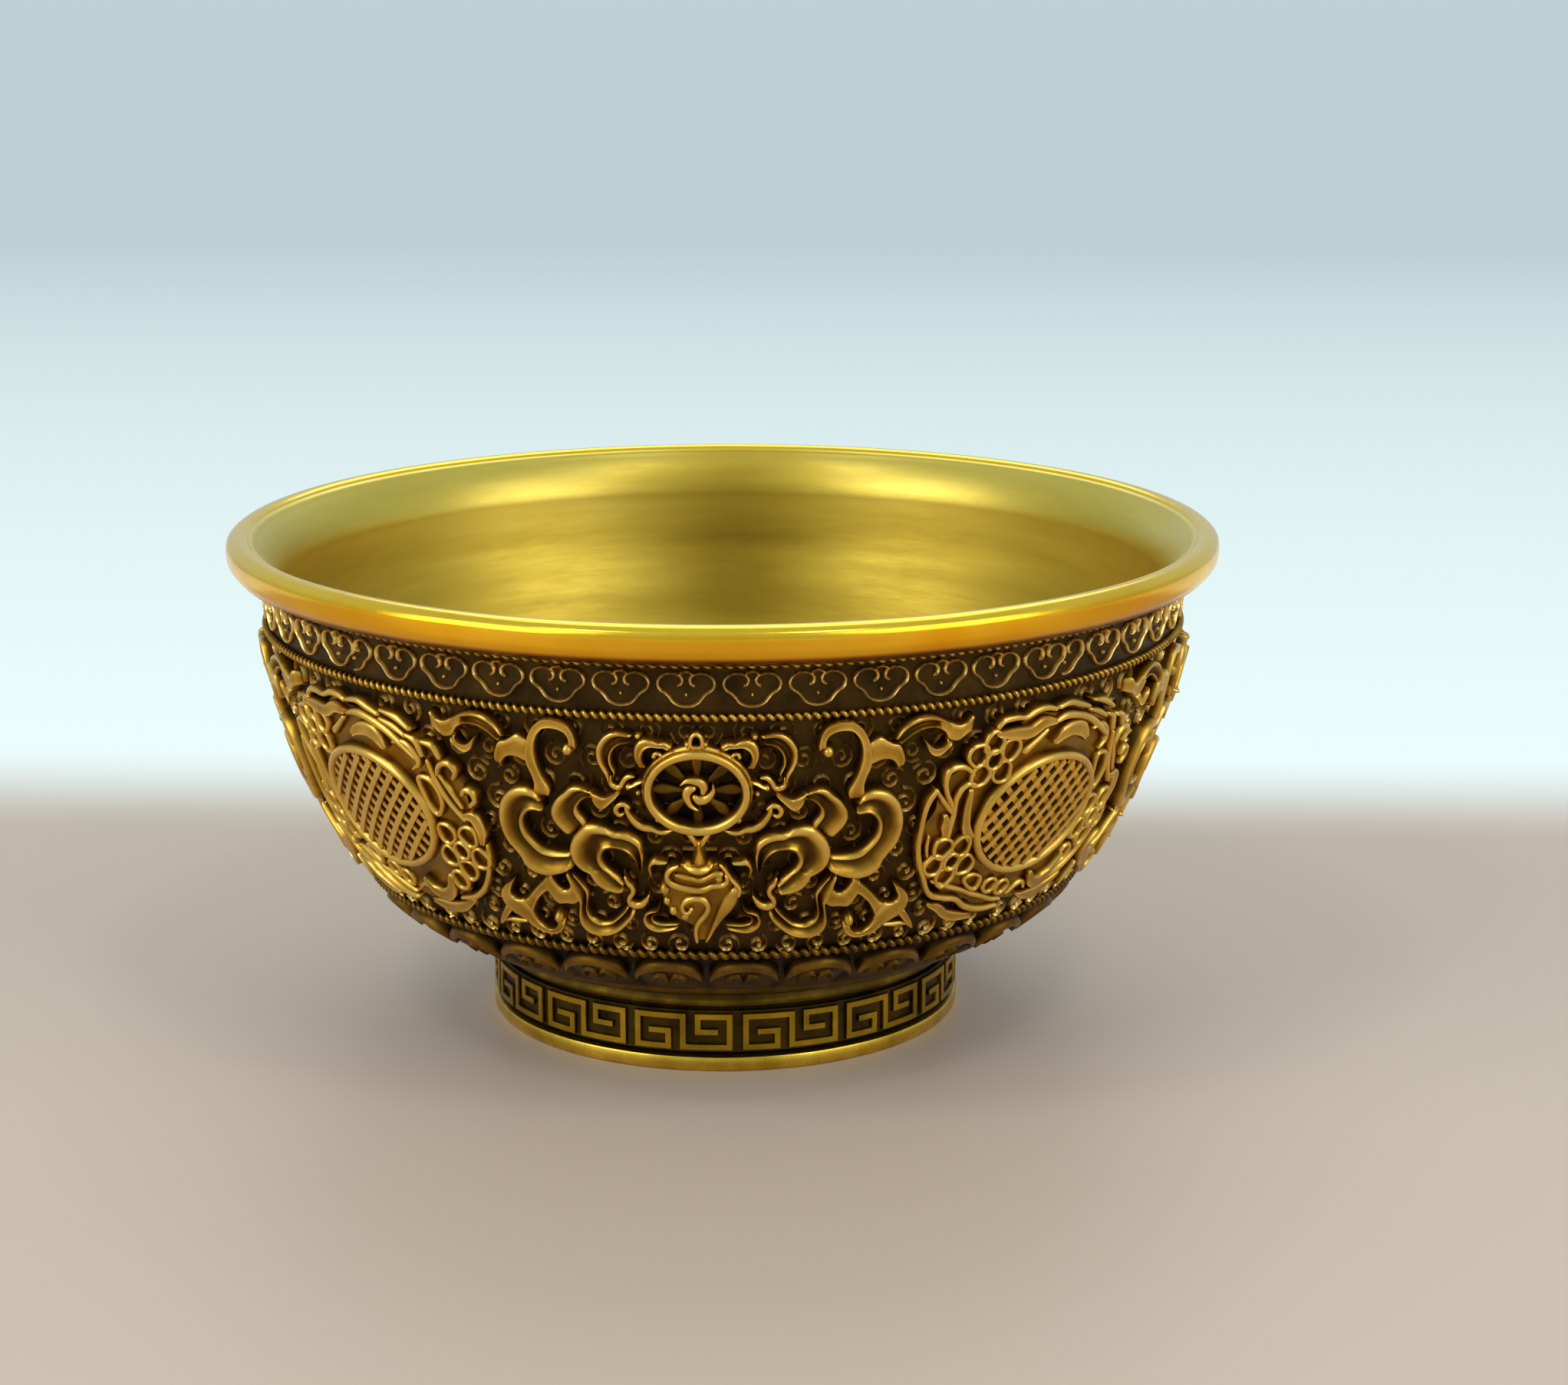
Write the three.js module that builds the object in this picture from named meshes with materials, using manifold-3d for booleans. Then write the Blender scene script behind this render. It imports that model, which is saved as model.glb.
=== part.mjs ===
// A small brass relief bowl on a round foot, about 120 mm across the rim.
// A smooth spun liner carries a heavy lip, four cast jacket panels, three wire borders, a lotus collar
// and a foot with a fret band. Raised emblems, ribbons and round medallions lie on the jacket.
// Millimetres, Z up, origin at the centre of the foot's underside. The front panel faces -Y.

import * as THREE from 'three';
import { mergeVertices } from 'three/addons/utils/BufferGeometryUtils.js';
import Module from 'manifold-3d';

const wasm = await Module();
wasm.setup();

// Driving sizes of the bowl
const rimDiameter = 120;
const bowlHeight = 60.4;
const lipHeight = 4.6;
const lipFaceHeight = 2.4;
const lipWidth = 3.2;
const lipOverhang = 4.4;
const footDiameter = 58;
const footHeight = 9.6;
const footWall = 2.3;
const footBandHeight = 1.7;
const footBandProud = 1.2;
const footFlangeWidth = 7;
const footFlangeThickness = 1.8;
const footStepHeight = 1.0;
const footStepProud = 0.6;
const collarLedge = 1.6;
const linerWall = 1.2;
const jacketWall = 1.4;

// Clearances
const seatGap = 0.3;
const seamGap = 0.3;

// Borders, with heights measured down from the neck or up from the foot joint
const upperWire = 0.8;
const middleWire = 1.0;
const lowerWire = 1.1;
const upperWireDrop = 0.4;
const cloudBandHeight = 4.6;
const lotusBandHeight = 17.4;
const petalCount = 28;
const petalRise = 0.8;

// Fret on the foot
const fretCount = 14;
const fretHeight = 4.5;
const fretBase = 2.6;
const fretLine = 0.75;
const fretRise = 0.4;
const fretStrip = 0.4;
const fretMargin = 0.3;
const fretSpacing = 0.95;
const fretGap = 1.1;
const fretTurn = THREE.MathUtils.degToRad(-7);

// Relief heights above the jacket
const plateRise = 0.9;
const medallionRise = 1.7;
const scrollRise = 1.45;
const ribbonRise = 1.9;
const ribbonGroove = 0.5;
const emblemRise = 2.3;

// Smoothness
const turnSteps = 40;
const panelSteps = turnSteps / 4;
const collarRows = 3;
const jacketRows = 5;

// Worked out from the sizes above
const rimRadius = rimDiameter / 2;
const neckRadius = rimRadius - lipOverhang;
const neckHeight = bowlHeight - lipHeight - seatGap;
const footRadius = footDiameter / 2;
const footWallRadius = footRadius - footBandProud;
const jointRadius = footWallRadius + collarLedge;
const quarterTurn = Math.PI / 2;

// The ground of the jacket: a belly that swells from the foot joint to the neck.
// Each pair is a share of the height and a share of the swelling.
const bellyShape = [[0, 0], [0.079, 0.25], [0.198, 0.508], [0.369, 0.691], [0.581, 0.847], [0.791, 0.958], [1, 1]];
const ground = new THREE.SplineCurve(bellyShape.map(([up, out]) => new THREE.Vector2(
  jointRadius + out * (neckRadius - jointRadius),
  footHeight + up * (neckHeight - footHeight),
)));
ground.arcLengthDivisions = 400;
const groundLength = ground.getLength();

// Radius and height of a point that lies so far along the ground curve and so far out from it.
// At the neck the walls end square, so there the way out is level.
function profilePoint(along, rise) {
  const share = THREE.MathUtils.clamp(along / groundLength, 0, 1);
  const point = ground.getPointAt(share);
  const tangent = share < 1 ? ground.getTangentAt(share) : new THREE.Vector2(0, 1);
  return new THREE.Vector2(point.x + tangent.y * rise, point.y - tangent.x * rise);
}

// The same point at an angle round the bowl, where zero faces the front
function onBowl(angle, along, rise) {
  const p = profilePoint(along, rise);
  return new THREE.Vector3(p.x * Math.sin(angle), -p.x * Math.cos(angle), p.y);
}

// Distances along the ground curve
const upperWireAlong = groundLength - upperWireDrop;
const middleWireAlong = upperWireAlong - upperWire / 2 - cloudBandHeight - middleWire / 2;
const lowerWireAlong = lotusBandHeight;
const collarTop = lowerWireAlong - seatGap / 2;
const jacketBottom = lowerWireAlong + seatGap / 2;

// The frieze is drawn on a field of 84.8 by 33.2 units, about a millimetre each, stretched over a panel.
// The field starts lower than the lower wire, so its lowest rows stay free of ribbons.
const fieldWidth = 84.8;
const fieldHeight = 33.2;
const fieldStart = lotusBandHeight - 3.7;
const friezeMiddle = (middleWireAlong + fieldStart) / 2;
const friezeLength = middleWireAlong - fieldStart;

function onField(x, y, rise) {
  return onBowl(x / fieldWidth * quarterTurn, friezeMiddle + y / fieldHeight * friezeLength, rise);
}

// Evenly spread numbers
const spread = (from, to, rows) => Array.from({ length: rows + 1 }, (_, i) => from + (to - from) * i / rows);

// Mesh helpers

// Turns the faces of a closed mesh outwards
function outward(geometry) {
  const position = geometry.attributes.position;
  const index = geometry.index.array;
  const a = new THREE.Vector3();
  const b = new THREE.Vector3();
  const c = new THREE.Vector3();
  let volume = 0;
  for (let i = 0; i < index.length; i += 3) {
    a.fromBufferAttribute(position, index[i]);
    b.fromBufferAttribute(position, index[i + 1]);
    c.fromBufferAttribute(position, index[i + 2]);
    volume += a.dot(b.cross(c));
  }
  if (volume < 0) {
    for (let i = 0; i < index.length; i += 3) {
      [index[i + 1], index[i + 2]] = [index[i + 2], index[i + 1]];
    }
  }
  return geometry;
}

// A closed mesh from rings of points: walls between neighbouring rings, and either end caps or a loop
function ringsToSolid(rings, isLoop = false) {
  const count = rings[0].length;
  const index = [];
  const last = isLoop ? rings.length : rings.length - 1;
  for (let i = 0; i < last; i += 1) {
    const here = i * count;
    const next = ((i + 1) % rings.length) * count;
    for (let j = 0; j < count; j += 1) {
      const k = (j + 1) % count;
      index.push(here + j, next + j, next + k, here + j, next + k, here + k);
    }
  }
  if (!isLoop) {
    const end = (rings.length - 1) * count;
    for (let j = 1; j < count - 1; j += 1) {
      index.push(0, j, j + 1);
      index.push(end, end + j + 1, end + j);
    }
  }
  const geometry = new THREE.BufferGeometry();
  geometry.setAttribute('position', new THREE.Float32BufferAttribute(rings.flat().flatMap((p) => [p.x, p.y, p.z]), 3));
  geometry.setIndex(index);
  return outward(geometry);
}

// A solid of revolution from a profile of radius and height that starts and ends on the axis or closes
function revolve(profile) {
  const turned = new THREE.LatheGeometry(profile.map(([r, z]) => new THREE.Vector2(r, z)), turnSteps);
  turned.rotateX(Math.PI / 2);
  turned.deleteAttribute('normal');
  turned.deleteAttribute('uv');
  return outward(dropFlatFaces(mergeVertices(turned, 1e-4)));
}

// Leaves out faces that have two corners in one place, as a lathe makes them on its axis
function dropFlatFaces(geometry) {
  const kept = [];
  const index = geometry.index.array;
  for (let i = 0; i < index.length; i += 3) {
    const [a, b, c] = [index[i], index[i + 1], index[i + 2]];
    if (a !== b && b !== c && a !== c) kept.push(a, b, c);
  }
  geometry.setIndex(kept);
  return geometry;
}

function toManifold(geometry) {
  return new wasm.Manifold(new wasm.Mesh({
    numProp: 3,
    vertProperties: new Float32Array(geometry.attributes.position.array),
    triVerts: new Uint32Array(geometry.index.array),
  }));
}

// Joins overlapping solids into one
function join(solids) {
  const whole = solids.map(toManifold).reduce((sum, next) => sum.add(next));
  const mesh = whole.getMesh();
  const geometry = new THREE.BufferGeometry();
  geometry.setAttribute('position', new THREE.BufferAttribute(mesh.vertProperties.slice(), 3));
  geometry.setIndex(new THREE.BufferAttribute(mesh.triVerts.slice(), 1));
  return geometry;
}

// Cross-sections of raised lines: offsets across the line and heights, for a half width
const sections = {
  ridge: (half, low, high) => [[0, high], [half, low], [-half, low]],
  flat: (half, low, high) => [[0.6 * half, high], [half, low], [-half, low], [-0.6 * half, high]],
  channel: (half, low, high) => [
    [0, high - ribbonGroove], [0.6 * half, high], [half, low], [-half, low], [-0.6 * half, high],
  ],
  dome: (half, low, high) => {
    const shoulder = low + 0.72 * (high - low);
    return [[0, high], [0.68 * half, shoulder], [half, low], [-half, low], [-0.68 * half, shoulder]];
  },
};

// A raised line through hand-drawn points of x, y and half width on the field
function stroke(points, { section = 'ridge', low = seatGap, high = scrollRise, steps = points.length } = {}) {
  const line = new THREE.CatmullRomCurve3(points.map(([x, y, half]) => new THREE.Vector3(x, y, half)));
  const rings = [];
  for (let i = 0; i <= steps; i += 1) {
    const at = line.getPoint(i / steps);
    const ahead = line.getTangent(i / steps);
    const length = Math.hypot(ahead.x, ahead.y);
    const across = [-ahead.y / length, ahead.x / length];
    rings.push(sections[section](at.z, low, high).map(
      ([offset, rise]) => onField(at.x + across[0] * offset, at.y + across[1] * offset, rise),
    ));
  }
  return ringsToSolid(rings);
}

// A raised ellipse, whose outer foot may reach further out at some of its steps
function hoop(x, y, radiusX, radiusY, half, options = {}) {
  const { section = 'flat', low = seatGap, high = scrollRise, steps = 20, flare = () => 0 } = options;
  const rings = [];
  for (let i = 0; i < steps; i += 1) {
    const turn = i / steps * 2 * Math.PI;
    rings.push(sections[section](half, low, high).map(([offset, rise]) => {
      const reach = offset === half ? offset + flare(i) : offset;
      return onField(x + (radiusX + reach) * Math.cos(turn), y + (radiusY + reach) * Math.sin(turn), rise);
    }));
  }
  return ringsToSolid(rings, true);
}

// A raised plate with a flat back. Its outline and its height are functions of the turn round it,
// and the height is given at each of the bands, as shares of the way out.
function plate(x, y, [radiusX, radiusY], outline, sides, bands, low, height) {
  const at = (share, turn, rise) => {
    const reach = share * outline(turn);
    return onField(x + reach * radiusX * Math.cos(turn), y + reach * radiusY * Math.sin(turn), rise);
  };
  const vertices = [at(0, 0, height(0, 0)), at(0, 0, low)];
  const addRing = (share, rise) => Array.from({ length: sides }, (_, i) => {
    const turn = i / sides * 2 * Math.PI;
    return vertices.push(at(share, turn, rise(turn))) - 1;
  });
  const top = bands.map((share) => addRing(share, (turn) => height(share, turn)));
  const back = (bands.length > 1 ? [0.5, 1] : [1]).map((share) => addRing(share, () => low));
  const index = [];
  const weave = (inner, outer) => inner.forEach((_, i) => {
    const j = (i + 1) % sides;
    index.push(inner[i], outer[i], outer[j], inner[i], outer[j], inner[j]);
  });
  top[0].forEach((_, i) => index.push(0, top[0][i], top[0][(i + 1) % sides]));
  for (let band = 1; band < top.length; band += 1) weave(top[band - 1], top[band]);
  weave(top[top.length - 1], back[back.length - 1]);
  for (let band = back.length - 1; band > 0; band -= 1) weave(back[band], back[band - 1]);
  back[0].forEach((_, i) => index.push(1, back[0][(i + 1) % sides], back[0][i]));
  const geometry = new THREE.BufferGeometry();
  geometry.setAttribute('position', new THREE.Float32BufferAttribute(vertices.flatMap((p) => [p.x, p.y, p.z]), 3));
  geometry.setIndex(index);
  return outward(geometry);
}

// A small raised boss
function boss(x, y, radius, { sides = 6, low = seatGap, high = scrollRise } = {}) {
  return plate(x, y, [radius, radius], () => 1, sides, [1], low, (share) => (share > 0 ? (low + high) / 2 : high));
}

const mirrored = (points) => points.map(([x, y, half]) => [-x, y, half]);
const turnedBy = (points, angle, [cx, cy] = [0, 0]) => points.map(([x, y, half]) => [
  cx + x * Math.cos(angle) - y * Math.sin(angle),
  cy + x * Math.sin(angle) + y * Math.cos(angle),
  half,
]);

// Materials
const finish = (color, roughness) => new THREE.MeshStandardMaterial({ color, roughness, metalness: 1 });
const polishedBrass = () => finish(0xe2b340, 0.22);
const brushedBrass = () => finish(0xb48f2c, 0.34);
const reliefBrass = () => finish(0xb07f22, 0.42);
const agedBrass = () => finish(0x4a3516, 0.6);

const bowl = new THREE.Group();

function add(parent, name, geometry, material) {
  geometry.computeVertexNormals();
  const mesh = new THREE.Mesh(geometry, material);
  mesh.name = name;
  parent.add(mesh);
}

// Rows along the ground that the liner, the collar and the panels share, so that their facets nest
const collarStations = spread(0, collarTop, collarRows);
const jacketStations = spread(jacketBottom, groundLength, jacketRows);
const shellLine = (stations, rise) => stations.map((along) => profilePoint(along, rise).toArray());

// The liner: a smooth spun bowl with a flat floor
const linerOuterRise = -jacketWall - seatGap;
const linerInnerRise = linerOuterRise - linerWall;
const linerStations = [...spread(0, lowerWireAlong, collarRows), ...jacketStations.slice(1)];
const linerOuter = shellLine(linerStations, linerOuterRise);
const linerInner = shellLine(linerStations, linerInnerRise);
const floorUnderside = linerOuter[0][1];
const floorTop = linerInner[0][1];
add(bowl, 'bowl_liner', revolve([
  [0, floorUnderside], ...linerOuter, ...linerInner.reverse(), [0, floorTop],
]), brushedBrass());

// The rim: a heavy rounded lip that caps the liner and the panels
const rimBottom = bowlHeight - lipHeight;
const rimInnerFoot = neckRadius + linerInnerRise;
const lipInnerRadius = rimRadius - lipWidth;
const lipTopRadius = rimRadius - lipWidth / 2;
const lipEdge = lipWidth / 5;
const lipCrown = lipWidth / 4;
const faceBottom = bowlHeight - lipCrown - lipFaceHeight;
add(bowl, 'rim_ring', revolve([
  [rimInnerFoot, rimBottom],
  [neckRadius, rimBottom],
  [rimRadius - lipEdge / 2, faceBottom - lipEdge / 2],
  [rimRadius, faceBottom],
  [rimRadius, bowlHeight - lipCrown],
  [rimRadius - lipEdge, bowlHeight - lipCrown / 4],
  [lipTopRadius, bowlHeight],
  [lipInnerRadius + lipEdge, bowlHeight - lipCrown / 4],
  [lipInnerRadius, bowlHeight - lipCrown],
  [(lipInnerRadius + rimInnerFoot) / 2, (rimBottom + bowlHeight) / 2],
  [rimInnerFoot, rimBottom],
]), polishedBrass());

// A border of twisted wire, as a round ring that lies on the jacket
function wireRing(along, thickness) {
  const sides = 5;
  const [r, z] = profilePoint(along, seatGap + thickness / 2).toArray();
  const profile = [];
  for (let i = 0; i <= sides; i += 1) {
    const turn = i / sides * 2 * Math.PI;
    profile.push([r + thickness / 2 * Math.cos(turn), z + thickness / 2 * Math.sin(turn)]);
  }
  return revolve(profile);
}
add(bowl, 'upper_rope', wireRing(upperWireAlong, upperWire), reliefBrass());
add(bowl, 'middle_rope', wireRing(middleWireAlong, middleWire), reliefBrass());
add(bowl, 'lower_rope', wireRing(lowerWireAlong, lowerWire), reliefBrass());

// A quarter of the jacket, as a curved shell between two seams
function jacketPanel() {
  const edge = seamGap / 2 / neckRadius;
  const rings = [];
  for (let i = 0; i <= panelSteps; i += 1) {
    const trim = i === 0 ? edge : 0;
    const endTrim = i === panelSteps ? edge : 0;
    const angle = (i / panelSteps - 0.5) * quarterTurn + trim - endTrim;
    const outer = jacketStations.map((along) => onBowl(angle, along, 0));
    const inner = jacketStations.map((along) => onBowl(angle, along, -jacketWall));
    rings.push([...outer, ...inner.reverse()]);
  }
  return stripSolid(rings);
}

// A closed strip whose rings are long and thin, so that its end caps are ladders and not fans
function stripSolid(rings) {
  const count = rings[0].length;
  const half = count / 2;
  const geometry = ringsToSolid(rings, true);
  const walls = (rings.length - 1) * count * 6;
  const index = Array.from(geometry.index.array.slice(0, walls));
  const end = (rings.length - 1) * count;
  for (let j = 0; j < half - 1; j += 1) {
    const across = count - 1 - j;
    index.push(j, j + 1, across, j + 1, across - 1, across);
    index.push(end + j, end + across, end + j + 1, end + j + 1, end + across, end + across - 1);
  }
  geometry.setIndex(index);
  return outward(geometry);
}

// The lotus collar: a ring of domed petals between the foot and the lower wire.
// Columns run up the middle of each petal and up each joint between two petals.
function lotusCollar() {
  const swell = [0, 0.35, 1, 0];
  const rings = [];
  for (let i = 0; i < 2 * petalCount; i += 1) {
    const angle = i / petalCount * Math.PI;
    const rise = i % 2 ? petalRise : 0;
    const outer = collarStations.map((along, row) => onBowl(angle, along, rise * swell[row]));
    const inner = collarStations.map((along) => onBowl(angle, along, -jacketWall));
    rings.push([...outer, ...inner.reverse()]);
  }
  return ringsToSolid(rings, true);
}
add(bowl, 'lotus_collar', lotusCollar(), agedBrass());

// The foot: a ring wall with a polished band below, a step above and a flange under the liner's floor
const flangeTop = floorUnderside - seatGap;
const flangeBottom = flangeTop - footFlangeThickness;
const footInnerRadius = footWallRadius - footWall;
const stepTop = footHeight - seatGap;
const stepBottom = stepTop - footStepHeight;
const footTopRadius = linerOuter[0][0] - seatGap;
add(bowl, 'foot_ring', revolve([
  [footInnerRadius, 0],
  [footRadius, 0],
  [footRadius, footBandHeight],
  [footWallRadius, footBandHeight + footBandProud / 3],
  [footWallRadius, stepBottom - footStepProud],
  [footWallRadius + footStepProud, stepBottom],
  [footWallRadius + footStepProud, stepTop],
  [footTopRadius, flangeTop],
  [footInnerRadius - footFlangeWidth, flangeTop],
  [footInnerRadius - footFlangeWidth, flangeBottom],
  [footInnerRadius, flangeBottom],
  [footInnerRadius, 0],
]), agedBrass());

// A pair of squared spirals of the fret, joined by the upright between them, wrapped on the foot.
// The right half is the left half turned upside down.
function fretPair(middle) {
  const w = (2 * Math.PI / fretCount * footWallRadius - fretGap) / 2;
  const h = fretHeight / 2;
  const t = fretLine;
  const inner = t / 2 + fretSpacing;
  const tip = w - t - fretSpacing;
  const bar = t / 2;
  const left = [
    [t / 2, h], [-w, h], [-w, -h], [-inner, -h], [-inner, bar], [-tip, bar], [-tip, -bar],
    [-inner - t, -bar], [-inner - t, -h + t], [-w + t, -h + t], [-w + t, h - t], [-t / 2, h - t],
  ];
  const outline = [...left, ...left.map(([x, y]) => [-x, -y])].map(([x, y]) => new THREE.Vector2(x, y));
  const wrap = (p, rise) => {
    const radius = footWallRadius + rise;
    const angle = middle + p.x / footWallRadius;
    return [radius * Math.sin(angle), -radius * Math.cos(angle), fretBase + h + p.y];
  };
  const count = outline.length;
  const index = [];
  for (const [a, b, c] of THREE.ShapeUtils.triangulateShape(outline, [])) {
    index.push(a, c, b, count + a, count + b, count + c);
  }
  for (let i = 0; i < count; i += 1) {
    const j = (i + 1) % count;
    index.push(i, j, count + j, i, count + j, count + i);
  }
  const pair = new THREE.BufferGeometry();
  const position = [seatGap + fretStrip / 2, seatGap + fretStrip + fretRise].flatMap(
    (rise) => outline.flatMap((p) => wrap(p, rise)),
  );
  pair.setAttribute('position', new THREE.Float32BufferAttribute(position, 3));
  pair.setIndex(index);
  return outward(pair);
}

// The fret band: a thin strip round the foot that carries the pairs of spirals, one after the other
function fretBand() {
  const inner = footWallRadius + seatGap;
  const outer = inner + fretStrip;
  const bottom = fretBase - fretMargin;
  const top = fretBase + fretHeight + fretMargin;
  const strip = revolve([[inner, bottom], [outer, bottom], [outer, top], [inner, top], [inner, bottom]]);
  const pairs = Array.from({ length: fretCount }, (_, i) => fretPair(fretTurn + i / fretCount * 2 * Math.PI));
  return join([strip, ...pairs]);
}
add(bowl, 'fret_band', fretBand(), reliefBrass());

// Ribbons of one side of a panel, drawn for the right side as x, y and half width
const ribbonLines = {
  outerLoop: [[17.3, 6.6, 0.75], [19, 7.2, 1.35], [21.1, 5.8, 1.5], [21.6, 3.4, 1.5], [20.6, 1.4, 1.4],
    [18.9, -0.4, 1.5], [16.9, -0.4, 1.3], [13.6, 0.4, 0.8]],
  upperLoop: [[11.3, 8.25, 0.36], [12.7, 8.4, 0.8], [14.35, 7.2, 1.2], [14.8, 6, 1.4], [13.8, 4, 1.4],
    [12.9, 2.6, 1]],
  innerLoop: [[6.8, -0.6, 0.2], [6.8, 1.3, 0.8], [8.6, 3.1, 1.1], [10.9, 3.4, 1.5], [12.7, 2, 1.8],
    [12.4, -0.4, 1.6], [10.6, -2.2, 1.2], [9, -2.8, 0.5]],
  leaf: [[8.4, 8.9, 0.15], [9.4, 8, 0.4], [10.6, 7.5, 0.85], [11.8, 8.4, 0.5]],
  claw: [[17.2, 7.2, 0.8], [17.2, 9.3, 0.7], [17.8, 11.2, 0.65], [17.8, 13.1, 0.5], [16.8, 14.7, 0.45],
    [15.3, 15.1, 0.42], [13.8, 14.6, 0.45], [13.2, 13.2, 0.5]],
  clawHook: [[17.8, 12.4, 0.9], [19.2, 13, 1.1], [20.6, 12.6, 0.85], [21.6, 11.8, 0.7], [21.6, 10.6, 0.35]],
  outerScroll: [[20.2, 13, 0.5], [22.7, 14.4, 0.65], [24.8, 14.9, 0.6], [26.8, 14.4, 0.65], [28.4, 13.8, 0.8],
    [30.1, 14.4, 0.5]],
  waveHook: [[27.5, 13.7, 0.5], [26.5, 12.3, 0.4], [25.2, 12.3, 0.4], [24.5, 13.1, 0.2]],
  lowerRibbon: [[15.8, -0.9, 0.5], [14.9, -3.4, 0.95], [14.6, -5.2, 0.65], [14.9, -7.3, 0.8], [14, -8.8, 1],
    [12.4, -8.9, 0.95], [10.6, -8, 0.8], [9, -6.5, 0.7], [8.5, -5.7, 0.6]],
  bracket: [[15.1, -3.3, 0.7], [16, -4.7, 0.9], [17.7, -4.8, 1], [18.6, -3.4, 0.9], [18.6, -1.2, 0.6]],
  lowerClaw: [[18.5, -2.9, 0.9], [20.1, -4.3, 0.8], [21.5, -5.8, 0.85], [22.6, -7.1, 1.1]],
  lowerCurl: [[23.8, -3.8, 0.2], [24.8, -4.8, 0.5], [25.2, -6, 0.9], [24.1, -7.1, 1.3], [22.7, -8.4, 0.9],
    [21.3, -9.7, 0.45], [19.6, -9.9, 0.4], [18.5, -8.9, 0.5]],
  spur: [[25.2, -7, 0.6], [26.9, -8.8, 0.42], [28.1, -10, 0.2]],
  crest: [[2.8, 14.1, 0.2], [4.6, 14.4, 0.45], [6.2, 14.5, 0.6], [8, 14.5, 0.7], [9.3, 13.8, 0.85],
    [9.8, 12.6, 0.85], [9.4, 11.2, 0.6], [9.2, 9.8, 0.35], [9.5, 8.2, 0.35]],
  crestHook: [[6.3, 14.4, 0.55], [6.2, 13.2, 0.4], [6, 12.4, 0.25]],
};
const channelled = ['outerLoop', 'upperLoop', 'innerLoop', 'lowerRibbon'];
const layerStep = 0.05;

// Joins the ribbons of one side. Each line lies a little higher than the one before, as it overlaps it.
function ribbonSide(isLeft) {
  const solids = Object.entries(ribbonLines).map(([name, points], layer) => stroke(
    isLeft ? mirrored(points) : points,
    {
      section: channelled.includes(name) ? 'channel' : 'ridge',
      low: seatGap + layer * layerStep / 4,
      high: (channelled.includes(name) ? ribbonRise : scrollRise) - layer * layerStep,
      steps: points.length - 1,
    },
  ));
  return join(solids);
}

// Upper emblem of the front: a wheel with eight spokes and a swirled hub, on a waisted stand
const wheelCentre = [0, 8.95];
const wheelRadii = [5.3, 4.45];
function wheel() {
  const [x, y] = wheelCentre;
  const [radiusX, radiusY] = wheelRadii;
  const spokes = 8;
  const flare = (i) => (i % 3 ? 0 : 0.8);
  const solids = [hoop(x, y, radiusX, radiusY, 0.5, { high: emblemRise, steps: 3 * spokes, flare })];
  for (let i = 0; i < spokes; i += 1) {
    const turn = i / spokes * 2 * Math.PI;
    const at = (share, half) => [x + share * radiusX * Math.cos(turn), y + share * radiusY * Math.sin(turn), half];
    solids.push(stroke([at(0.2, 0.5), at(1, 0.4)], { high: 1.1, low: seatGap + 0.02 * (i + 1), steps: 1 }));
  }
  solids.push(boss(x, y, 1.9, { sides: spokes, high: 1.8, low: seatGap + 0.01 }));
  solids.push(stroke([[0, 4.7, 0.6], [0, 3.2, 0.4], [0, 2.2, 0.5], [0, 1.5, 0.85]],
    { section: 'dome', low: 0.36, steps: 3 }));
  return join(solids);
}

// Lower emblem of the front: a conch shell with a whorled top and an S-shaped lip
function conch() {
  return join([
    stroke([[0, 1, 1.5], [-0.1, 0, 3.3], [0, -1.2, 4.1], [0, -2.6, 4.8], [-0.2, -4.2, 4.4], [-0.4, -6, 3.1],
      [-0.1, -7.7, 1.4], [-0.3, -9.3, 0.6]], { section: 'dome', high: 2.3, steps: 9 }),
    stroke([[-1.9, -4.9, 0.3], [-1.6, -3.7, 0.4], [-0.2, -3.4, 0.45], [0.6, -4.6, 0.5], [-0.1, -6.1, 0.45],
      [-0.6, -7.9, 0.4]], { low: 1, high: 2.7 }),
  ]);
}

// Emblems of the right panel: a parasol above a round banner
function parasol() {
  return join([
    stroke([[0, 13.4, 0.4], [0, 12, 2.2], [0, 10.2, 4.3], [0, 8.6, 5.3]], { section: 'dome', high: emblemRise }),
    stroke([[0, 8.9, 5.4], [0, 6.7, 5]], { section: 'flat', low: 0.35, high: 1.9, steps: 2 }),
    stroke([[0, 7, 0.5], [0, 2, 0.5], [0, -0.9, 0.6]], { low: 0.4, high: 1.5 }),
  ]);
}

function banner() {
  const tiers = [-2.2, -5, -7.8].map((top, i) => stroke(
    [[0, top + 0.5, 3], [0, top - 0.8, 4.1 - 0.4 * i], [0, top - 2.5, 3.3 - 0.3 * i]],
    { section: 'dome', low: seatGap + 0.04 * i, high: 2.2 },
  ));
  return join([...tiers, stroke([[0, -9.9, 1.6], [0, -11.9, 0.5]], { section: 'dome', low: 0.5, steps: 2 })]);
}

// Emblems of the back panel: a lotus flower above a treasure vase
function lotusFlower() {
  const petal = [[0, 0.4, 0.6], [0, 3.4, 1.6], [0, 6.2, 1.2], [0, 7.9, 0.25]];
  const petals = [-1.2, 1.2, -0.65, 0.65, 0].map((angle, i) => stroke(
    turnedBy(petal, angle, [0, 3.6]),
    { low: seatGap + 0.03 * i, high: 1.6 + 0.1 * i, steps: 3 },
  ));
  return join([...petals, stroke([[0, 4, 1.1], [0, 1, 0.5], [0, -1.5, 1]], { section: 'dome', low: 0.6, steps: 2 })]);
}

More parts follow.
